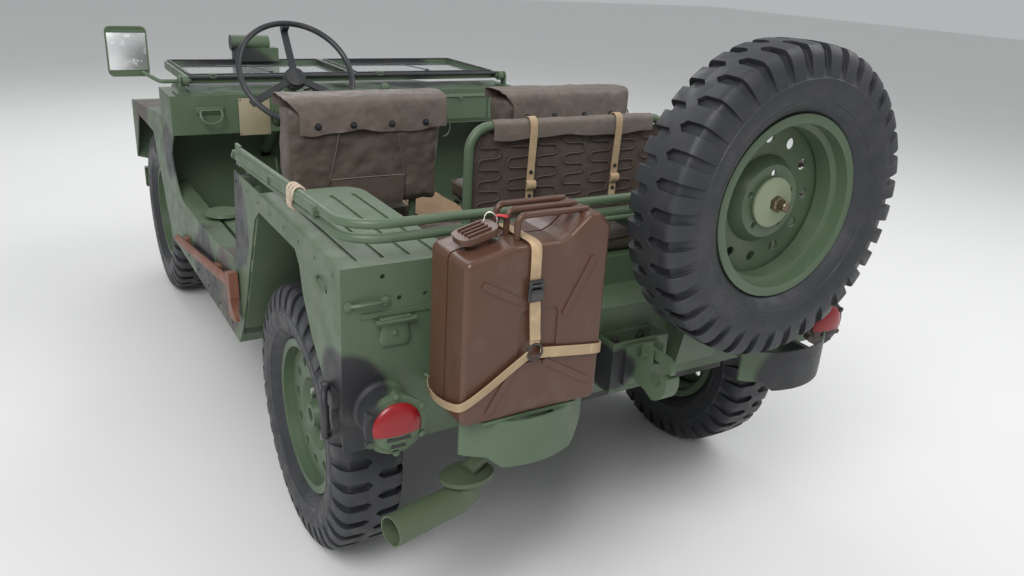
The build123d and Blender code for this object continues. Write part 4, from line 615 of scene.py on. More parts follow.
def make_tyre():
    """One tyre about the Z axis with its outer side up."""
    let_go()
    bpy.ops.mesh.primitive_cylinder_add(vertices=SECTORS, radius=TYRE_RADIUS, depth=2 * CROWN_HALF)
    piece = bpy.context.object
    for end in (1, -1):
        pick(piece, "polygons", lambda face: face.normal.z * end > 0.9)
        extrude_rings(TYRE_RADIUS, end * CROWN_HALF, [(radius, end * height) for radius, height in TYRE_WALL])
        bpy.ops.mesh.delete(type="ONLY_FACE")
    for height in (-TREAD_CUT, -GROOVE_START, GROOVE_START, TREAD_CUT):
        open_whole()
        bpy.ops.mesh.bisect(plane_co=(0, 0, height), plane_no=UP)
    leave_edit()
    for v in piece.data.vertices:
        if v.co.xy.length > TREAD_FOOT and abs(v.co.z) < CROWN_HALF + CLOSE:
            # The crown is slightly round, and the inner end of each groove runs to a point.
            lift = 1 - CROWN_DROP * (abs(v.co.z) / CROWN_HALF) ** 2 / TYRE_RADIUS
            v.co.x, v.co.y = v.co.x * lift, v.co.y * lift
            border = in_pitch(v.co, round(around(v.co) * SECTORS))
            if abs(abs(v.co.z) - GROOVE_START) < CLOSE and border == PITCH_SECTORS - 1:
                v.co.z *= GROOVE_POINT
    pick(piece, "polygons", is_groove)
    bpy.ops.mesh.extrude_region_shrink_fatten(TRANSFORM_OT_shrink_fatten={"value": -GROOVE_DEPTH})
    leave_edit()
    for v in piece.data.vertices:
        if v.select:
            shallow = clamped((GROOVE_FULL - v.co.xy.length) / (GROOVE_FULL - GROOVE_END))
            lean = WALL_LEAN * clamped((abs(v.co.z) - LEAN_START) / LEAN_RUN)
            outward_way = v.co.xy.normalized() * cos(lean)
            rise = GROOVE_RISE * GROOVE_DEPTH * shallow
            v.co += Vector((*outward_way, copysign(sin(lean), v.co.z))) * rise
    # Bead: the two open rims are bridged to close the inner barrel.
    points = piece.data.vertices
    pick(piece, "edges", lambda edge: ((points[edge.vertices[0]].co + points[edge.vertices[1]].co) / 2
                                       ).xy.length < BEAD_RADIUS)
    bpy.ops.mesh.bridge_edge_loops()
    outward(piece)
    apply(piece, "BEVEL", width=0.0016, segments=1, limit_method="ANGLE", angle_limit=radians(55))
    return piece


HUB_X, AXLE_Y, AXLE_HEIGHT = 673, 1079.5, 380
WHEELS = {
    "front_left": ((HUB_X, -AXLE_Y, AXLE_HEIGHT), LEFT, "front_left_wheel"),
    "front_right": ((-HUB_X, -AXLE_Y, AXLE_HEIGHT), RIGHT, "front_right_wheel"),
    "rear_left": ((HUB_X, AXLE_Y, AXLE_HEIGHT), LEFT, "rear_left_wheel"),
    "rear_right": ((-HUB_X, AXLE_Y, AXLE_HEIGHT), RIGHT, "rear_right_wheel"),
    "spare": ((-218, 1767, 1105), FRONT, "body"),
}


def dress_wheels():
    master = make_tyre()
    for place, (centre, axis, body) in WHEELS.items():
        tyre = twin(master, centre, axis)
        finish(tyre, f"{place}_treaded_tyre", rubber_finish, body, TREAD_SMOOTH)
        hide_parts(f"{place}_tyre")
    bpy.data.objects.remove(master)


# Soft pieces: padded shapes blown up by the cloth solver, and thin canvas drawn as sheets
CLOTH_SETTINGS = {
    "quality": 5, "mass": 0.3, "tension_stiffness": 14, "compression_stiffness": 4, "bending_stiffness": 0.4,
    "use_pressure": True, "uniform_pressure_force": 4.0,
}
CLOTH_FRAMES = 20
PAD_VOXEL = 0.008


def crumple(piece, size, depth):
    """Pushes the surface in and out by a soft pattern of this size and depth."""
    take(piece)
    pattern = bpy.data.textures.get("folds") or bpy.data.textures.new("folds", "CLOUDS")
    pattern.noise_scale, strength = metres((size, depth))
    pattern.noise_depth = 3
    apply(piece, "DISPLACE", texture=pattern, texture_coords="LOCAL", strength=strength, mid_level=0.5)


def stuffed(low, high, round_off, cap, lean=0):
    """A pad: the box is remeshed, blown up by the cloth solver, and no point moves past the cap."""
    piece = block(low, high, round_off, 3)
    foot, top, cap, lean = metres((low[2], high[2], cap, lean))
    for v in piece.data.vertices:
        v.co.y += lean * (v.co.z - foot) / (top - foot)
    apply(piece, "REMESH", mode="VOXEL", voxel_size=PAD_VOXEL)
    before = [v.co.copy() for v in piece.data.vertices]
    take(piece)
    cloth = piece.modifiers.new("Cloth", "CLOTH")
    for key, value in CLOTH_SETTINGS.items():
        setattr(cloth.settings, key, value)
    cloth.settings.effector_weights.gravity = 0
    cloth.point_cache.frame_start = 1
    cloth.point_cache.frame_end = CLOTH_FRAMES
    for moment in range(1, CLOTH_FRAMES + 1):
        scene.frame_set(moment)
    bpy.ops.object.modifier_apply(modifier=cloth.name)
    scene.frame_set(1)
    for v, start in zip(piece.data.vertices, before):
        moved = v.co - start
        if moved.length > cap:
            v.co = start + moved * (cap / moved.length)
    apply(piece, "SMOOTH", factor=0.5, iterations=2)
    return piece


def pad(name, low, high, folds, fill=0.7, material=seat_finish, body="body", **shape):
    """A stuffed canvas pad, crumpled by each (size, depth) of the folds."""
    piece = stuffed(low, high, **shape)
    for size, depth in folds:
        crumple(piece, size, depth)
    apply(piece, "SUBSURF", levels=1, render_levels=1)
    finish(piece, name, material, body, SOFT)
    return piece


def canvas_strip(path, half, cuts, across=LEFT, scallop=0):
    """A piece of canvas that follows the path and is as wide as twice the half."""
    path, half, scallop = metres((path, half, scallop))
    let_go()
    bpy.ops.mesh.primitive_grid_add(x_subdivisions=cuts, y_subdivisions=len(path) - 1, size=2)
    piece = bpy.context.object
    side = Vector(across).normalized()
    rows = sorted({round(v.co.y, 5) for v in piece.data.vertices})
    for v in piece.data.vertices:
        row = min(range(len(rows)), key=lambda i: abs(rows[i] - v.co.y))
        along = v.co.x
        place = Vector(path[row]) + side * (half * along)
        if row == len(rows) - 1:
            place.z += scallop * sin(along * 5.2 + 0.6) + 0.4 * scallop * sin(along * 13.0)
        v.co = place
    apply(piece, "SUBSURF", levels=2, render_levels=2, boundary_smooth="PRESERVE_CORNERS")
    return piece


def sheet(strip, name, crease, thick, material=seat_finish, body="body"):
    crumple(strip, *crease)
    apply(strip, "SOLIDIFY", thickness=metres(thick), offset=0)
    finish(strip, name, material, body, SOFT)
    return strip


def at_x(x, *places):
    """Points in the plane at x, each given as (y, z)."""
    return [(x, y, z) for y, z in places]


def piping(points, z, name, body="body"):
    """A closed cord of canvas through the (x, y) points at the height z."""
    ring = tube([(x, y, z) for x, y in points], 2.8, ring=True)
    finish(ring, name, seat_finish, body)


SEAT_HALF = 272
FLAP_TAPER = 0.045
CUSHION_EDGE = (
    (-236, 160), (-210, 134), (0, 131), (210, 134), (236, 160), (239, 290),
    (236, 415), (210, 441), (0, 444), (-210, 441), (-236, 415), (-239, 290),
)
BENCH_EDGE = (
    (-490, 700), (-460, 669), (-130, 665), (205, 669), (235, 700), (239, 840),
    (235, 975), (205, 1007), (-130, 1011), (-460, 1007), (-490, 975), (-494, 840),
)


def seat_cover(who, centre, body):
    """Back cover of a front seat with its flap, turn buttons and pocket, and the piped cushion."""
    cover = pad(f"{who}_back_cover", (centre - SEAT_HALF, 466, 812), (centre + SEAT_HALF, 570, 1168),
                ((55, 13), (170, 20)), body=body, lean=20, round_off=18, cap=13)
    # Flap: from the front edge over the flat top, then down the rear, narrower below on its left side
    flap = canvas_strip(
        at_x(centre, (478, 1150), (474, 1176), (480, 1188), (500, 1190), (550, 1190), (586, 1190),
             (604, 1182), (608, 1160), (609, 1130), (610, 1100), (609, 1078)), SEAT_HALF, 40, scallop=6)
    middle, half = metres((centre, SEAT_HALF))
    for v in flap.data.vertices:
        if v.co.y > 0.600 and v.co.x > middle:
            v.co.x -= FLAP_TAPER * min(1, (1.190 - v.co.z) / 0.05) * (v.co.x - middle) / half
    sheet(flap, f"{who}_cover_flap", (50, 9), 2.2, lit_canvas_finish, body)
    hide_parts(f"{who}_seat_pads")
    # Turn buttons in their washers
    stud = join([turned([(11.5, 0), (11.5, 1.2), (8.5, 2.4)], sides=20),
                 turned([(4.5, 2), (4.5, 6), (6, 7.5), (4, 10)], sides=14)])
    studs = copies(stud, [((centre + x, 610.5, 1100), REAR) for x in (170, 55, -75, -195)])
    finish(studs, f"{who}_turn_buttons", black_finish, body)
    # Pocket on the lower rear face, open at its top, and the seams that run down to it
    pocket = canvas_strip(at_x(centre, (586, 822), (594, 850), (596, 890), (597, 925)), 125, 20)
    sheet(pocket, f"{who}_cover_pocket", (60, 5), 3, seat_finish, body)
    seams = [tube([(centre + 128, 597, 925), (centre, 600, 928), (centre - 128, 597, 925)], 2.2)]
    for side in (1, -1):
        seams.append(tube([(centre + side * x, y, z) for x, y, z in (
            (130, 592, 925), (112, 598, 1000), (100, 602, 1075))], 1.8))
    finish(seams, f"{who}_cover_seams", lit_canvas_finish, body)
    bail = tube([(centre - 262, 585, 1120), (centre - 290, 596, 1118), (centre - 292, 600, 1050),
                 (centre - 268, 596, 1046)], 2.6)
    finish(bail, f"{who}_cover_bail", wheel_finish, body=body)
    pad(f"{who}_cushion", (centre - 238, 132, 699), (centre + 238, 443, 768), ((90, 6),), body=body,
        round_off=24, cap=11)
    for name, z in (("lower", 703), ("upper", 762)):
        piping([(centre + x, y) for x, y in CUSHION_EDGE], z, f"{who}_cushion_{name}_piping", body)


def dress_bench():
    cushion = pad("bench_pad", (-492, 668, 708), (237, 1008, 768), ((100, 6),), round_off=22, cap=12)
    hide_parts("bench_cushion")
    piping(BENCH_EDGE, 762, "bench_pad_piping")


BACKREST_Y = 1060
BACKREST_MIDDLE, BACKREST_HALF = -127.5, 340.5
TOP_TUBE_Z, OVER_TUBE = 1171, 16.8


def dress_backrest():
    """Folding backrest: brown canvas on sinuous springs, a flap over the top tube, two straps."""
    body = "backrest"
    strip = canvas_strip(at_x(BACKREST_MIDDLE, *((BACKREST_Y - 4, z) for z in (
        872, 900, 950, 1000, 1050, 1100, 1150))), BACKREST_HALF, 40)
    for v in strip.data.vertices:
        wave = (cos((v.co.x - metres(BACKREST_MIDDLE)) * pi / 0.70)
                * sin((v.co.z - 0.872) * pi / 0.28))
        v.co.y += 0.004 * wave
    sheet(strip, "backrest_sheet", (50, 4), 4,
          brown_canvas_finish, body)
    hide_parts("backrest_canvas")
    springs = []
    for column in range(7):
        x = 165 - 98.5 * column
        springs.append(tube([
            (x + (1 if turn % 2 else -1) * reach, 1064.5, 885 + 32 * turn + rise)
            for turn in range(8) for reach, rise in ((-24, 0), (24, 0), (37, 6), (37, 26))], 2.1))
    finish(springs, "backrest_springs", brown_canvas_finish, body)
    over = [(BACKREST_Y + OVER_TUBE * cos(a), TOP_TUBE_Z + OVER_TUBE * sin(a))
            for a in (radians(180 - 30 * i) for i in range(7))]
    flap = canvas_strip(at_x(BACKREST_MIDDLE, (1042.5, 1120), (1042.8, 1145), *over, (1077.5, 1162),
                             (1078.5, 1148), (1078, 1134)), 288, 36, scallop=4)
    sheet(flap, "backrest_flap", (60, 4), 2.2, lit_canvas_finish, body)
    for number, x in enumerate((30, -280)):
        web = strap(at_x(x, (1037.5, 1100), (1038.5, 1150), (1040, 1176), (1048, 1191), (1060, 1194.5),
                         (1074, 1190), (1082, 1176), (1082.5, 1150), (1081.5, 1120), (1078, 1070),
                         (1076.5, 990), (1076, 905)), LEFT)
        roll = strap(at_x(x, (1078, 1006), (1086.5, 1004), (1088.5, 994), (1086.5, 982), (1079, 980)),
                     LEFT, 32, 3)
        piece = finish([web, roll], f"backrest_strap_{number + 1}", webbing_finish, body)
        studs = [turned([(6.5, 0), (6.2, 2), (3, 3.2)], (x, 1078.5, 1032), REAR, 16),
                 turned([(6, 0), (6, 2), (3.5, 2.2)], (x, 1077.5, 960), REAR, 16)]
        finish(studs, f"backrest_strap_{number + 1}_studs", black_finish, body)


# The can's harness: one strap over the top with a loose end, and two straps drawn from its ring.
# Each has its flat length in metres, its thickness, its direction across and its points.
CAN_STRAPS = {
    "over_strap": (0.60, 2.4, LEFT, (
        (453, 1607, 900), (453, 1606, 1040), (453, 1614, 1074), (453, 1632, 1081.5), (453, 1695, 1082),
        (453, 1764, 1084), (453, 1781, 1080), (453, 1784.5, 1060), (452, 1782.5, 1000), (450, 1783, 950),
        (446, 1784, 900), (443, 1785, 856))),
    "strap_end": (0.13, 2.2, (1, 0, 0.06), (
        (455, 1785.5, 985), (452, 1788, 960), (448, 1787.5, 925), (446, 1786.5, 885), (445, 1790, 868))),
    "right_strap": (0.36, 2.4, UP, (
        (428, 1785, 833), (380, 1783, 826), (320, 1783, 818), (276, 1783.5, 813), (258, 1780, 811),
        (254.5, 1759, 810), (256, 1700, 808), (254.5, 1640, 806), (258, 1612, 806), (280, 1608.5, 806))),
    "left_strap": (0.40, 2.4, (0.25, 0.25, 0.95), (
        (458, 1785, 832), (500, 1783.5, 805), (550, 1783.8, 772), (594, 1784, 747), (614, 1780, 736),
        (618, 1759, 728), (616.5, 1700, 708), (612, 1640, 697), (600, 1590, 693), (585, 1562, 692))),
}
RING_PLACE = (443, 1786.5, 838)
LID_PLACE = (551.5, 1694.5, 1095.5)
LID_LEAN = radians(15)


def dress_can():
    for name, (length, thick, across, points) in CAN_STRAPS.items():
        piece = finish(strap(points, across, 25, thick), f"can_{name}", webbing_finish)
    let_go()
    bpy.ops.mesh.primitive_torus_add(
        major_radius=0.0185, minor_radius=0.0026, major_segments=32, minor_segments=10,
        location=metres(RING_PLACE), rotation=(pi / 2, 0, 0))
    finish(bpy.context.object, "can_strap_ring", iron_finish)
    # Cam buckle: a sunk plate with its lever and cross bar
    buckle = [sunk(block((434, 1784.5, 955), (470, 1789.5, 1005)), 6, 2),
              block((437, 1789.5, 962), (467, 1794.5, 985)),
              turned([(3, 0), (3, 38)], (433, 1790.5, 992), LEFT, 12)]
    finish(buckle, "can_strap_buckle", iron_finish)
    # Lid: its ribs, hinge, a wire loop and a red tag
    ribs = join([block((-28, y - 2.5, 0), (28, y + 2.5, 5), 1.5) for y in (-22, -7, 8, 23)])
    ribs.matrix_world = Matrix.Translation(metres(LID_PLACE)) @ Matrix.Rotation(LID_LEAN, 4, "Y")
    finish(ribs, "can_lid_ribs", can_finish)
    hinge = tube([(512, 1672, 1078), (502, 1672, 1092), (502, 1717, 1092), (512, 1717, 1078)], 3)
    wire = tube([(520, 1675, 1095), (512, 1660, 1116), (495, 1665, 1122), (492, 1690, 1108),
                 (508, 1700, 1094)], 1.4)
    finish([hinge, wire], "can_lid_wire", steel_finish)
    tag = strap([(500, 1690, 1120), (494, 1702, 1124), (484, 1712, 1121)], (0.5, 0.6, 0), 16, 1.6)
    finish(tag, "can_red_tag", red_paint)
    feet = [block((x - 12, 1690, 683.5), (x + 12, 1700, 690)) for x in (300, 570)]
    finish(feet, "can_seam_feet", can_finish)


# Fittings of the tail, the sides, the dash and the lamps
REAR_LAMP_X, REAR_LAMP_Z = 699, 645
HEADLAMP_X, MARKER_X, FRONT_LAMP_Z = 490, 690, 720
GRILLE_FACE, BUMPER_FACE = -1518.5, -1554.5
MARKER_FACE = GRILLE_FACE - 26
TAIL_FACE = 1550
DASH_FACE = -370
CATCH_MIDDLE = 0.666


def dress_rear_lamps():
    """Red lens over a cover with two slotted hoods, and the screws around them."""
    for side, name in SIDES:
        x, z = side * REAR_LAMP_X, REAR_LAMP_Z
        lens = part_lens([(1, 12.5), (18, 11.8), (34, 9.5), (47, 6), (56.5, 1.2), (57.5, -3)],
                         (x, 1650, z), REAR, 56, z - 16, upper=True)
        finish(lens, f"{name}_tail_lens", lens_finish, smooth=DOMED)
        cover = part_lens([(1, 11.2), (20, 10.6), (36, 8.4), (48, 5), (57.5, 0)],
                          (x, 1650.5, z), REAR, 56, z - 16.5, upper=False)
        hoods = [block((x - 30, 1655.5, z - 31), (x + 30, 1663.5, z - 28), 1),
                 block((x - 19, 1652.5, z - 51), (x + 19, 1660, z - 48), 1)]
        finish([cover] + hoods, f"{name}_tail_cover", smooth=DOMED)
        slots = [block((x - 27, 1656, z - 28), (x + 27, 1662.2, z - 20.5), 1),
                 block((x - 16, 1653, z - 48), (x + 16, 1658.8, z - 40.5), 1)]
        finish(slots, f"{name}_tail_slots", dark_lens_finish)
        heads = ring_of([(7.5, 0), (7.5, 4), (5, 5.5)], (x, 1642, z), 71, range(30, 360, 60), REAR, 16)
        finish(heads, f"{name}_tail_screws")


def dress_front_lamps():
    for side, name in SIDES:
        x = side * HEADLAMP_X
        lens = turned([(1, 16), (25, 14.5), (50, 10), (70, 3), (74.5, -2)],
                      (x, -1560, FRONT_LAMP_Z), FRONT, 56)
        finish(lens, f"{name}_head_glass", pane_finish, smooth=DOMED)
        bulb = turned([(1, 6), (12, 4), (16, -2)], (x, -1559, FRONT_LAMP_Z), FRONT, 24)
        finish(bulb, f"{name}_head_reflector", pale_steel)


def dress_markers():
    """Amber lens and slotted hood of each front marker lamp."""
    for side, name in SIDES:
        x, y, z = side * MARKER_X, MARKER_FACE, FRONT_LAMP_Z
        lens = part_lens([(1, 14), (18, 13), (34, 9.5), (46, 4.5), (50, 0)], (x, y, z), FRONT, 48, z - 10,
                         upper=True)
        finish(lens, f"{name}_marker_lens", amber_finish, smooth=DOMED)
        hood = block((x - 40, y - 12, z - 40), (x + 40, y + 2, z - 13), 4)
        slot = block((x - 22, y - 13.5, z - 30), (x + 22, y - 10, z - 24), 1)
        finish(hood, f"{name}_marker_hood")
        finish(slot, f"{name}_marker_slot", dark_lens_finish)
        heads = ring_of([(6, 0), (6, 3), (4, 4.5)], (x, y, z), 59, (45, 135, 225, 315), FRONT, 14)
        finish(heads, f"{name}_marker_screws")


def dress_tail_panel():
    # Strap handle: a bowed bar with flattened ends
    handle = tube([(775, 1553, 904), (762, 1556, 905), (750, 1563, 907), (730, 1565, 908), (708, 1563, 907),
                   (697, 1556, 906), (684, 1553, 905)], 4.8)
    ends = [turned([(11, 0), (11, 5), (6, 7.5)], (x, TAIL_FACE, z), REAR, 20)
            for x, z in ((772, 904), (687, 905))]
    finish([handle] + ends, "tail_strap_handle")
    # Catch: a waisted plate hanging from a rolled eye, with a rivet
    plate = block((628, TAIL_FACE, 796), (704, TAIL_FACE + 7, 862), 3)
    apply(plate, "SUBSURF", levels=2, render_levels=2, subdivision_type="SIMPLE")
    for v in plate.data.vertices:
        waist = 1 - 0.20 * exp(-((v.co.z - 0.840) / 0.012) ** 2)
        foot = 1 - 0.15 * max(0, (0.812 - v.co.z) / 0.014)
        v.co.x = CATCH_MIDDLE + (v.co.x - CATCH_MIDDLE) * waist * foot
    catch = [plate, block((621, TAIL_FACE, 848), (711, TAIL_FACE + 12, 858), 3),
             tube([(618, 1562, 859), (714, 1562, 859)], 5.8, 12),
             block((628, 1552, 864), (704, 1566, 868), 1.5),
             turned([(6.5, 0), (6, 3), (3.5, 4.8)], (666, 1557, 828), REAR, 18)]
    finish(catch, "tail_catch")
    hook = tube([(589, 1552, 706), (583, 1562, 702), (573, 1565, 696), (565, 1560, 690)], 4)
    finish(hook, "can_strap_hook", wheel_finish)
    # Side handle high on each rear quarter
    for side, name in SIDES:
        bow = tube([(side * x, y, z) for x, y, z in (
            (784, 1400, 925), (796, 1404, 925), (799, 1420, 922), (799, 1437, 916), (795, 1450, 911),
            (784, 1454, 910))], 4.2)
        foot = turned([(9, 0), (9, 3), (5, 5)], (side * 784, 1459, 908), (side, 0, 0), 16)
        finish([bow, foot], f"{name}_quarter_handle")


BOW_X, CORD_TURN = 770, 14.5


def dress_bows():
    """Cord lashings that tie the folded bow tubes together, and the bolts of the flat bars."""
    for side, label in SIDES:
        x = side * BOW_X
        for number, y in enumerate((1175, 1192, 1209)):
            low_z = 1016 + 34 * (y - 625) / (1554 - 625)
            points = []
            for lift, drift, start in ((32, 4, 0), (0, -6, pi)):
                for step in range(8):
                    a = start + pi * step / 7
                    points.append((x + side * CORD_TURN * cos(a), y + drift * number,
                                   low_z + lift + CORD_TURN * sin(a)))
            cord = tube(points, 4.2, ring=True)
            finish(cord, f"{label}_lashing_{number + 1}", cord_finish, "top_bows", SOFT)
    for side, label in SIDES:
        heads = [turned([(9.5, 0), (9.5, 5), (6.5, 6.5)], (side * 783, y, z), (side, 0, 0), 6)
                 for y, z in ((625, 1032), (1000, 1046), (1370, 1066))]
        finish(heads, f"{label}_bow_bolts", wheel_finish, body="top_bows")


def dress_dash():
    y = DASH_FACE
    # Ring handle: a D-shaped loop on its plate
    ring = tube([(602, -356, 986), (596, -340, 968), (612, -334, 944), (642, -332, 936), (670, -334, 944),
                 (686, -340, 968), (680, -356, 986)], 5.8)
    bar = tube([(598, -358, 988), (684, -358, 988)], 5.2)
    seat = block((588, y, 975), (696, y + 10, 1002), 3)
    finish([ring, bar, seat], "dash_ring_handle")
    # Two blank plates, the larger one with rivets
    finish(block((403, y, 880), (529, y + 2.5, 1030), 1), "dash_blank_plate", plate_finish)
    rivets = [turned([(3.5, 0), (3, 1.2)], (x, y + 2.5, z), REAR, 12)
              for x in (410, 522) for z in (887, 1023)]
    finish(rivets, "dash_plate_rivets", steel_finish)
    finish(block((255, y, 900), (320, y + 2, 945), 1), "dash_small_plate", plate_finish)
    # Instrument cluster: a raised panel with five dials behind bezels
    finish(block((-85, y, 885), (175, y + 12, 1035), 4), "instrument_panel")
    dials, faces = [], []
    for x, z, radius in ((45, 960, 50), (-45, 997, 26), (-45, 925, 26), (135, 997, 26), (135, 925, 26)):
        place = ((x, y + 12, z), REAR, 40)
        dials.append(turned([(radius - 4, 2), (radius - 4, 6), (radius, 6), (radius + 2, 0)], *place))
        faces.append(turned([(1, 2), (radius - 3, 2), (radius - 3, 0)], *place))
    finish(dials, "instrument_bezels", black_finish)
    finish(faces, "instrument_faces", dial_finish)
    knobs = [turned([(5, 0), (5, 14), (11.5, 17), (11.5, 24), (7, 27)], (x, y, 905), REAR, 20)
             for x in (-160, -210, -260)]
    finish(knobs, "dash_knobs", black_finish)
    # Glove-box lid with its bead and catch
    lid = sunk(block((-640, y, 900), (-320, y + 4, 1025), 3), 14, 2.2)
    catch = turned([(10, 0), (10, 6), (7, 9)], (-480, y + 1.8, 1004), REAR, 20)
    finish([lid, catch], "glove_box_lid")


LUG_CIRCLE, NUT_PLANE = 70, 677


def dress_wheel_nuts():
    for name in ("front_left", "rear_left", "front_right", "rear_right"):
        (_, y, z), axis, body = WHEELS[name]
        nut = turned([(13.5, 0), (13.5, 12), (9.5, 20)], sides=6)
        places = [((axis[0] * NUT_PLANE, y + LUG_CIRCLE * cos(a), z + LUG_CIRCLE * sin(a)), axis)
                  for a in (radians(72 * i) for i in range(5))]
        finish(copies(nut, places), f"{name}_nuts", pale_steel, body)


FRAME_REAR, FRAME_FRONT = -470, -930


def dress_windshield():
    """Rubbers round both panes of the folded windshield, its buffer, wipers and catches."""
    body = "windshield"
    for name, x0, x1 in (("left", 20, 690), ("right", -690, -20)):
        for place, ends, ys in (("rear", (x0, x1), (FRAME_REAR - 7, FRAME_REAR + 7)),
                                ("front", (x0, x1), (FRAME_FRONT - 7, FRAME_FRONT + 7)),
                                ("inner", (x0 - 7, x0 + 7), (FRAME_FRONT, FRAME_REAR)),
                                ("outer", (x1 - 7, x1 + 7), (FRAME_FRONT, FRAME_REAR))):
            rail = block((ends[0], ys[0], 1110), (ends[1], ys[1], 1116.5), 3)
            finish(rail, f"{name}_pane_{place}_rubber", rubber_trim_finish, body)
    # Rubber buffer along the hinge edge, seen from behind as a black rail
    buffer = tube([(-700, -444, 1105), (700, -444, 1105)], 8.5, 12)
    finish(buffer, "windshield_rear_buffer", rubber_trim_finish, body)
    for side, name in SIDES:
        x = side * 360
        arm = strap([(x, -480, 1119), (x + 20, -560, 1120.5), (x + 50, -660, 1119.5)], (1, 0.1, 0), 10, 3)
        blade = block((x - 80, -672, 1117), (x + 180, -660, 1121.5), 1.5)
        post = turned([(11, 0), (11, 10), (7, 14)], (x, -480, 1108.5), UP, 18)
        finish([arm, blade, post], f"{name}_wiper", black_finish, body)
        # Hold-down catch on the frame's rear bar
        catch = block((x + 230, -463, 1109.5), (x + 262, -440, 1120), 3)
        loop = tube([(x + 232, -444, 1113), (x + 232, -435, 1104), (x + 260, -435, 1104),
                     (x + 260, -444, 1113)], 3.2)
        finish([catch, loop], f"{name}_windshield_catch", body=body)


def dress_mirror():
    face = block((836, -513.5, 1128), (974, -511.5, 1268), 0.8)
    finish(face, "mirror_face", mirror_finish)
    nut = turned([(10, 0), (10, 6), (6, 9)], (905, -528, 1198), FRONT, 6)
    finish(nut, "mirror_nut", wheel_finish)


COLUMN_SLOPE = radians(38)


def dress_steering():
    """Cap of the steering wheel's hub, and the knob of the turn lever beside the column."""
    axis = (0, cos(COLUMN_SLOPE), sin(COLUMN_SLOPE))
    cap = turned([(40, -12), (44, -4), (42, 4), (34, 8), (33, 6), (26, 10), (14, 12.5), (4, 13)],
                 (370, -120, 1140), axis, 40)
    finish(cap, "steering_hub_cap", black_finish, "steering_wheel", DOMED)
    knob = turned([(4, 0), (4, 30), (11, 34), (14, 42), (11, 50), (4, 53)],
                  (310, -195, 1085), (-1, 0.1, 0.25), 20)
    finish(knob, "turn_lever_knob", black_finish, smooth=SOFT)


def dress_bag():
    """A tan canvas bag that lies folded between the front seats, with its flap thrown over it."""
    pad("canvas_bag", (-130, 60, 606), (85, 440, 684), ((80, 30), (35, 10)), 0.6, bag_finish,
        round_off=20, cap=14)
    lid = canvas_strip(at_x(-22, (75, 702), (140, 712), (260, 714), (370, 712), (440, 704), (466, 680),
                            (476, 640)), 100, 26, (1, 0.05, 0), scallop=6)
    sheet(lid, "canvas_bag_flap", (70, 20), 2, bag_finish)


COIL_RADIUS, COIL_WIRE, COIL_TURNS, TURN_STEPS = 46, 7.5, 6, 16


def dress_springs():
    """Upright coil springs of the suspension."""
    steps = COIL_TURNS * TURN_STEPS
    for side, label in SIDES:
        for end, x, y, low, high in (("front", 450, -AXLE_Y, 294, 496), ("rear", 495, AXLE_Y, 424, 592)):
            points = []
            for step in range(steps + 1):
                a = radians(45 + 360 * step / TURN_STEPS)
                points.append((side * x + COIL_RADIUS * cos(a), y + COIL_RADIUS * sin(a),
                               low + (high - low) * step / steps))
            finish(tube(points, COIL_WIRE), f"{end}_{label}_spring", dark_finish)


def dress_spare():
    """Pale clamp plate and rusty stud that hold the spare wheel."""
    place = (-218, 1779, 1105)
    plate = turned([(61.5, -4), (61.5, 2), (56, 5.5), (26, 6.5), (23, 10), (13.5, 10.5)], place, REAR, 48)
    finish(plate, "spare_clamp_plate", pale_paint, smooth=DOMED)
    nut = turned([(20, 10), (20, 22), (16.5, 26), (13.5, 26)], place, REAR, 6)
    sleeve = turned([(12.8, 20), (12.8, 44), (10.5, 47)], place, REAR, 20)
    finish([nut, sleeve], "spare_stud", rust_finish)


SHACKLE_FOOT_X = 801


def dress_shackles():
    """Bent rods of the rear tie-down shackles, with their bolts."""
    for side, label in SIDES:
        rod = tube([(side * (SHACKLE_FOOT_X + out), y, z) for out, y, z in (
            (0, 1486, 692), (10, 1494, 690), (18, 1512, 676), (20, 1522, 640), (20, 1520, 600),
            (18, 1508, 572), (8, 1490, 560), (0, 1484, 560))], 8.5, 12)
        bolts = [turned([(13.5, 0), (13.5, 12), (10, 15)], (side * SHACKLE_FOOT_X, 1484, z), (side, 0, 0), 6)
                 for z in (690, 562)]
        finish([rod] + bolts, f"rear_{label}_shackle_rod", smooth=DOMED)


SIDE_FACE = 789.5
BONNET_CATCH_X = 597


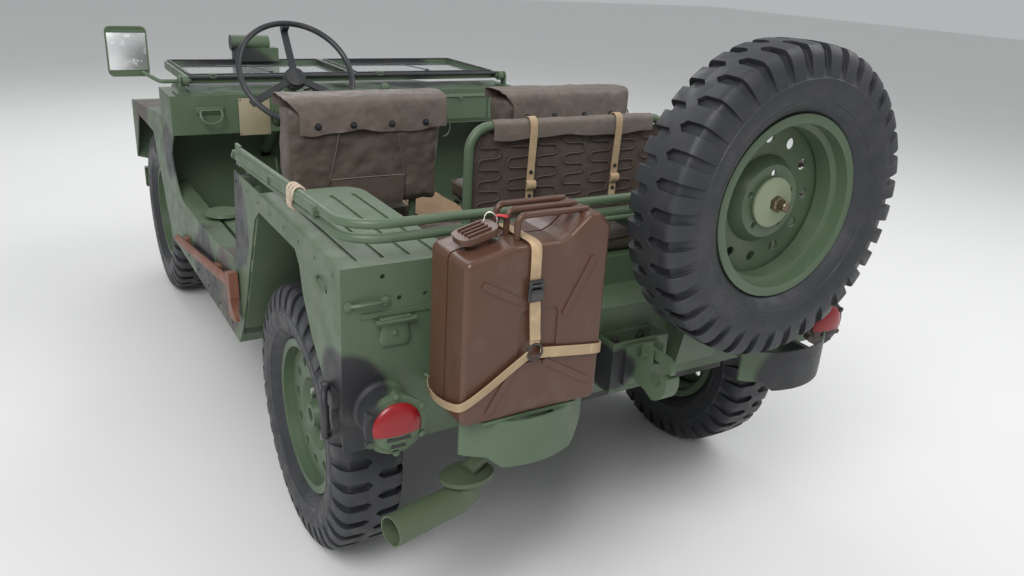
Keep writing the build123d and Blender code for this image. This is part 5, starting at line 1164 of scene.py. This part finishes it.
def dress_bolts():
    """Bolt heads and rivets that hold the plates together, spaced along their edges."""
    def on_plane(y, axis, xs, zs):
        return [((x, y, z), axis) for x in xs for z in zs]

    def on_sides(z, ys):
        return [((side * SIDE_FACE, y, z), (side, 0, 0)) for side, _ in SIDES for y in ys]

    for name, head, material, places in (
            ("pintle_bolts", hex_bolt(10), dark_finish, on_plane(1562.5, REAR, (-42, 42), (607, 693))),
            ("sill_rivets", rivet(5.5), camo_finish, on_sides(435, range(-420, 481, 180))),
            ("rail_rivets", rivet(4.5), camo_finish, on_sides(962, range(660, 1501, 120))),
            ("grille_bolts", hex_bolt(7.5), wheel_finish,
             on_plane(GRILLE_FACE, FRONT, (-620, -370, 370, 620), (600, 835))),
            ("bumper_bolts", hex_bolt(10), wheel_finish,
             on_plane(BUMPER_FACE, FRONT, (-390, -330, 330, 390), (425, 475)))):
        finish(copies(head, places), name, material)
    # Bonnet side catches: a spring loop on a foot
    for side, label in SIDES:
        parts = []
        for y in (-620, -1300):
            z = 934 - 80 * (y + 450) / (-1500 + 450)
            x = side * BONNET_CATCH_X
            parts.append(block((x - 10, y - 20, z - 4), (x + 10, y + 20, z + 6)))
            parts.append(tube([(x - side * lean, y, z + rise) for lean, rise in ((4, 0), (12, 30), (22, 52))],
                              4.5))
        finish(parts, f"{label}_bonnet_catches")


SKY_COLOUR, SKY_STRENGTH = (0.86, 0.88, 0.90, 1), 0.52
# Area lights: place, size and power
LIGHTS = (((3.5, 4.0, 5.0), 3.0, 240), ((-4.0, 2.0, 5.0), 4.0, 130), ((0, -4.5, 5.0), 4.0, 120))


def set_stage():
    """A pale floor and soft light from above and both sides."""
    bpy.ops.mesh.primitive_plane_add(size=60, location=ORIGIN)
    floor = bpy.context.object
    floor.name = "floor"
    graph = Graph("pale_floor")
    graph.colour(graph.mix(graph.noise(1.2), (0.80, 0.80, 0.79), (0.84, 0.84, 0.83)))
    graph.set(Roughness=0.85)
    floor.data.materials.append(graph.material)
    world = bpy.data.worlds.new("studio")
    scene.world = world
    world.use_nodes = True
    sky = world.node_tree.nodes["Background"].inputs
    sky["Color"].default_value = SKY_COLOUR
    sky["Strength"].default_value = SKY_STRENGTH
    for place, size, power in LIGHTS:
        bpy.ops.object.light_add(type="AREA", location=place)
        lamp = bpy.context.object
        lamp.data.size = size
        lamp.data.energy = power
        lamp.rotation_euler = (-Vector(place)).to_track_quat("-Z", "Y").to_euler()


set_camera()
set_stage()
finish_nodes()
dress_wheels()
seat_cover("driver", 350, "body")
seat_cover("passenger", -410, "passenger_seat")
dress_bench()
dress_backrest()
dress_can()
dress_rear_lamps()
dress_front_lamps()
dress_markers()
dress_tail_panel()
dress_bows()
dress_dash()
dress_wheel_nuts()
dress_windshield()
dress_mirror()
dress_steering()
dress_bag()
dress_springs()
dress_spare()
dress_shackles()
dress_bolts()
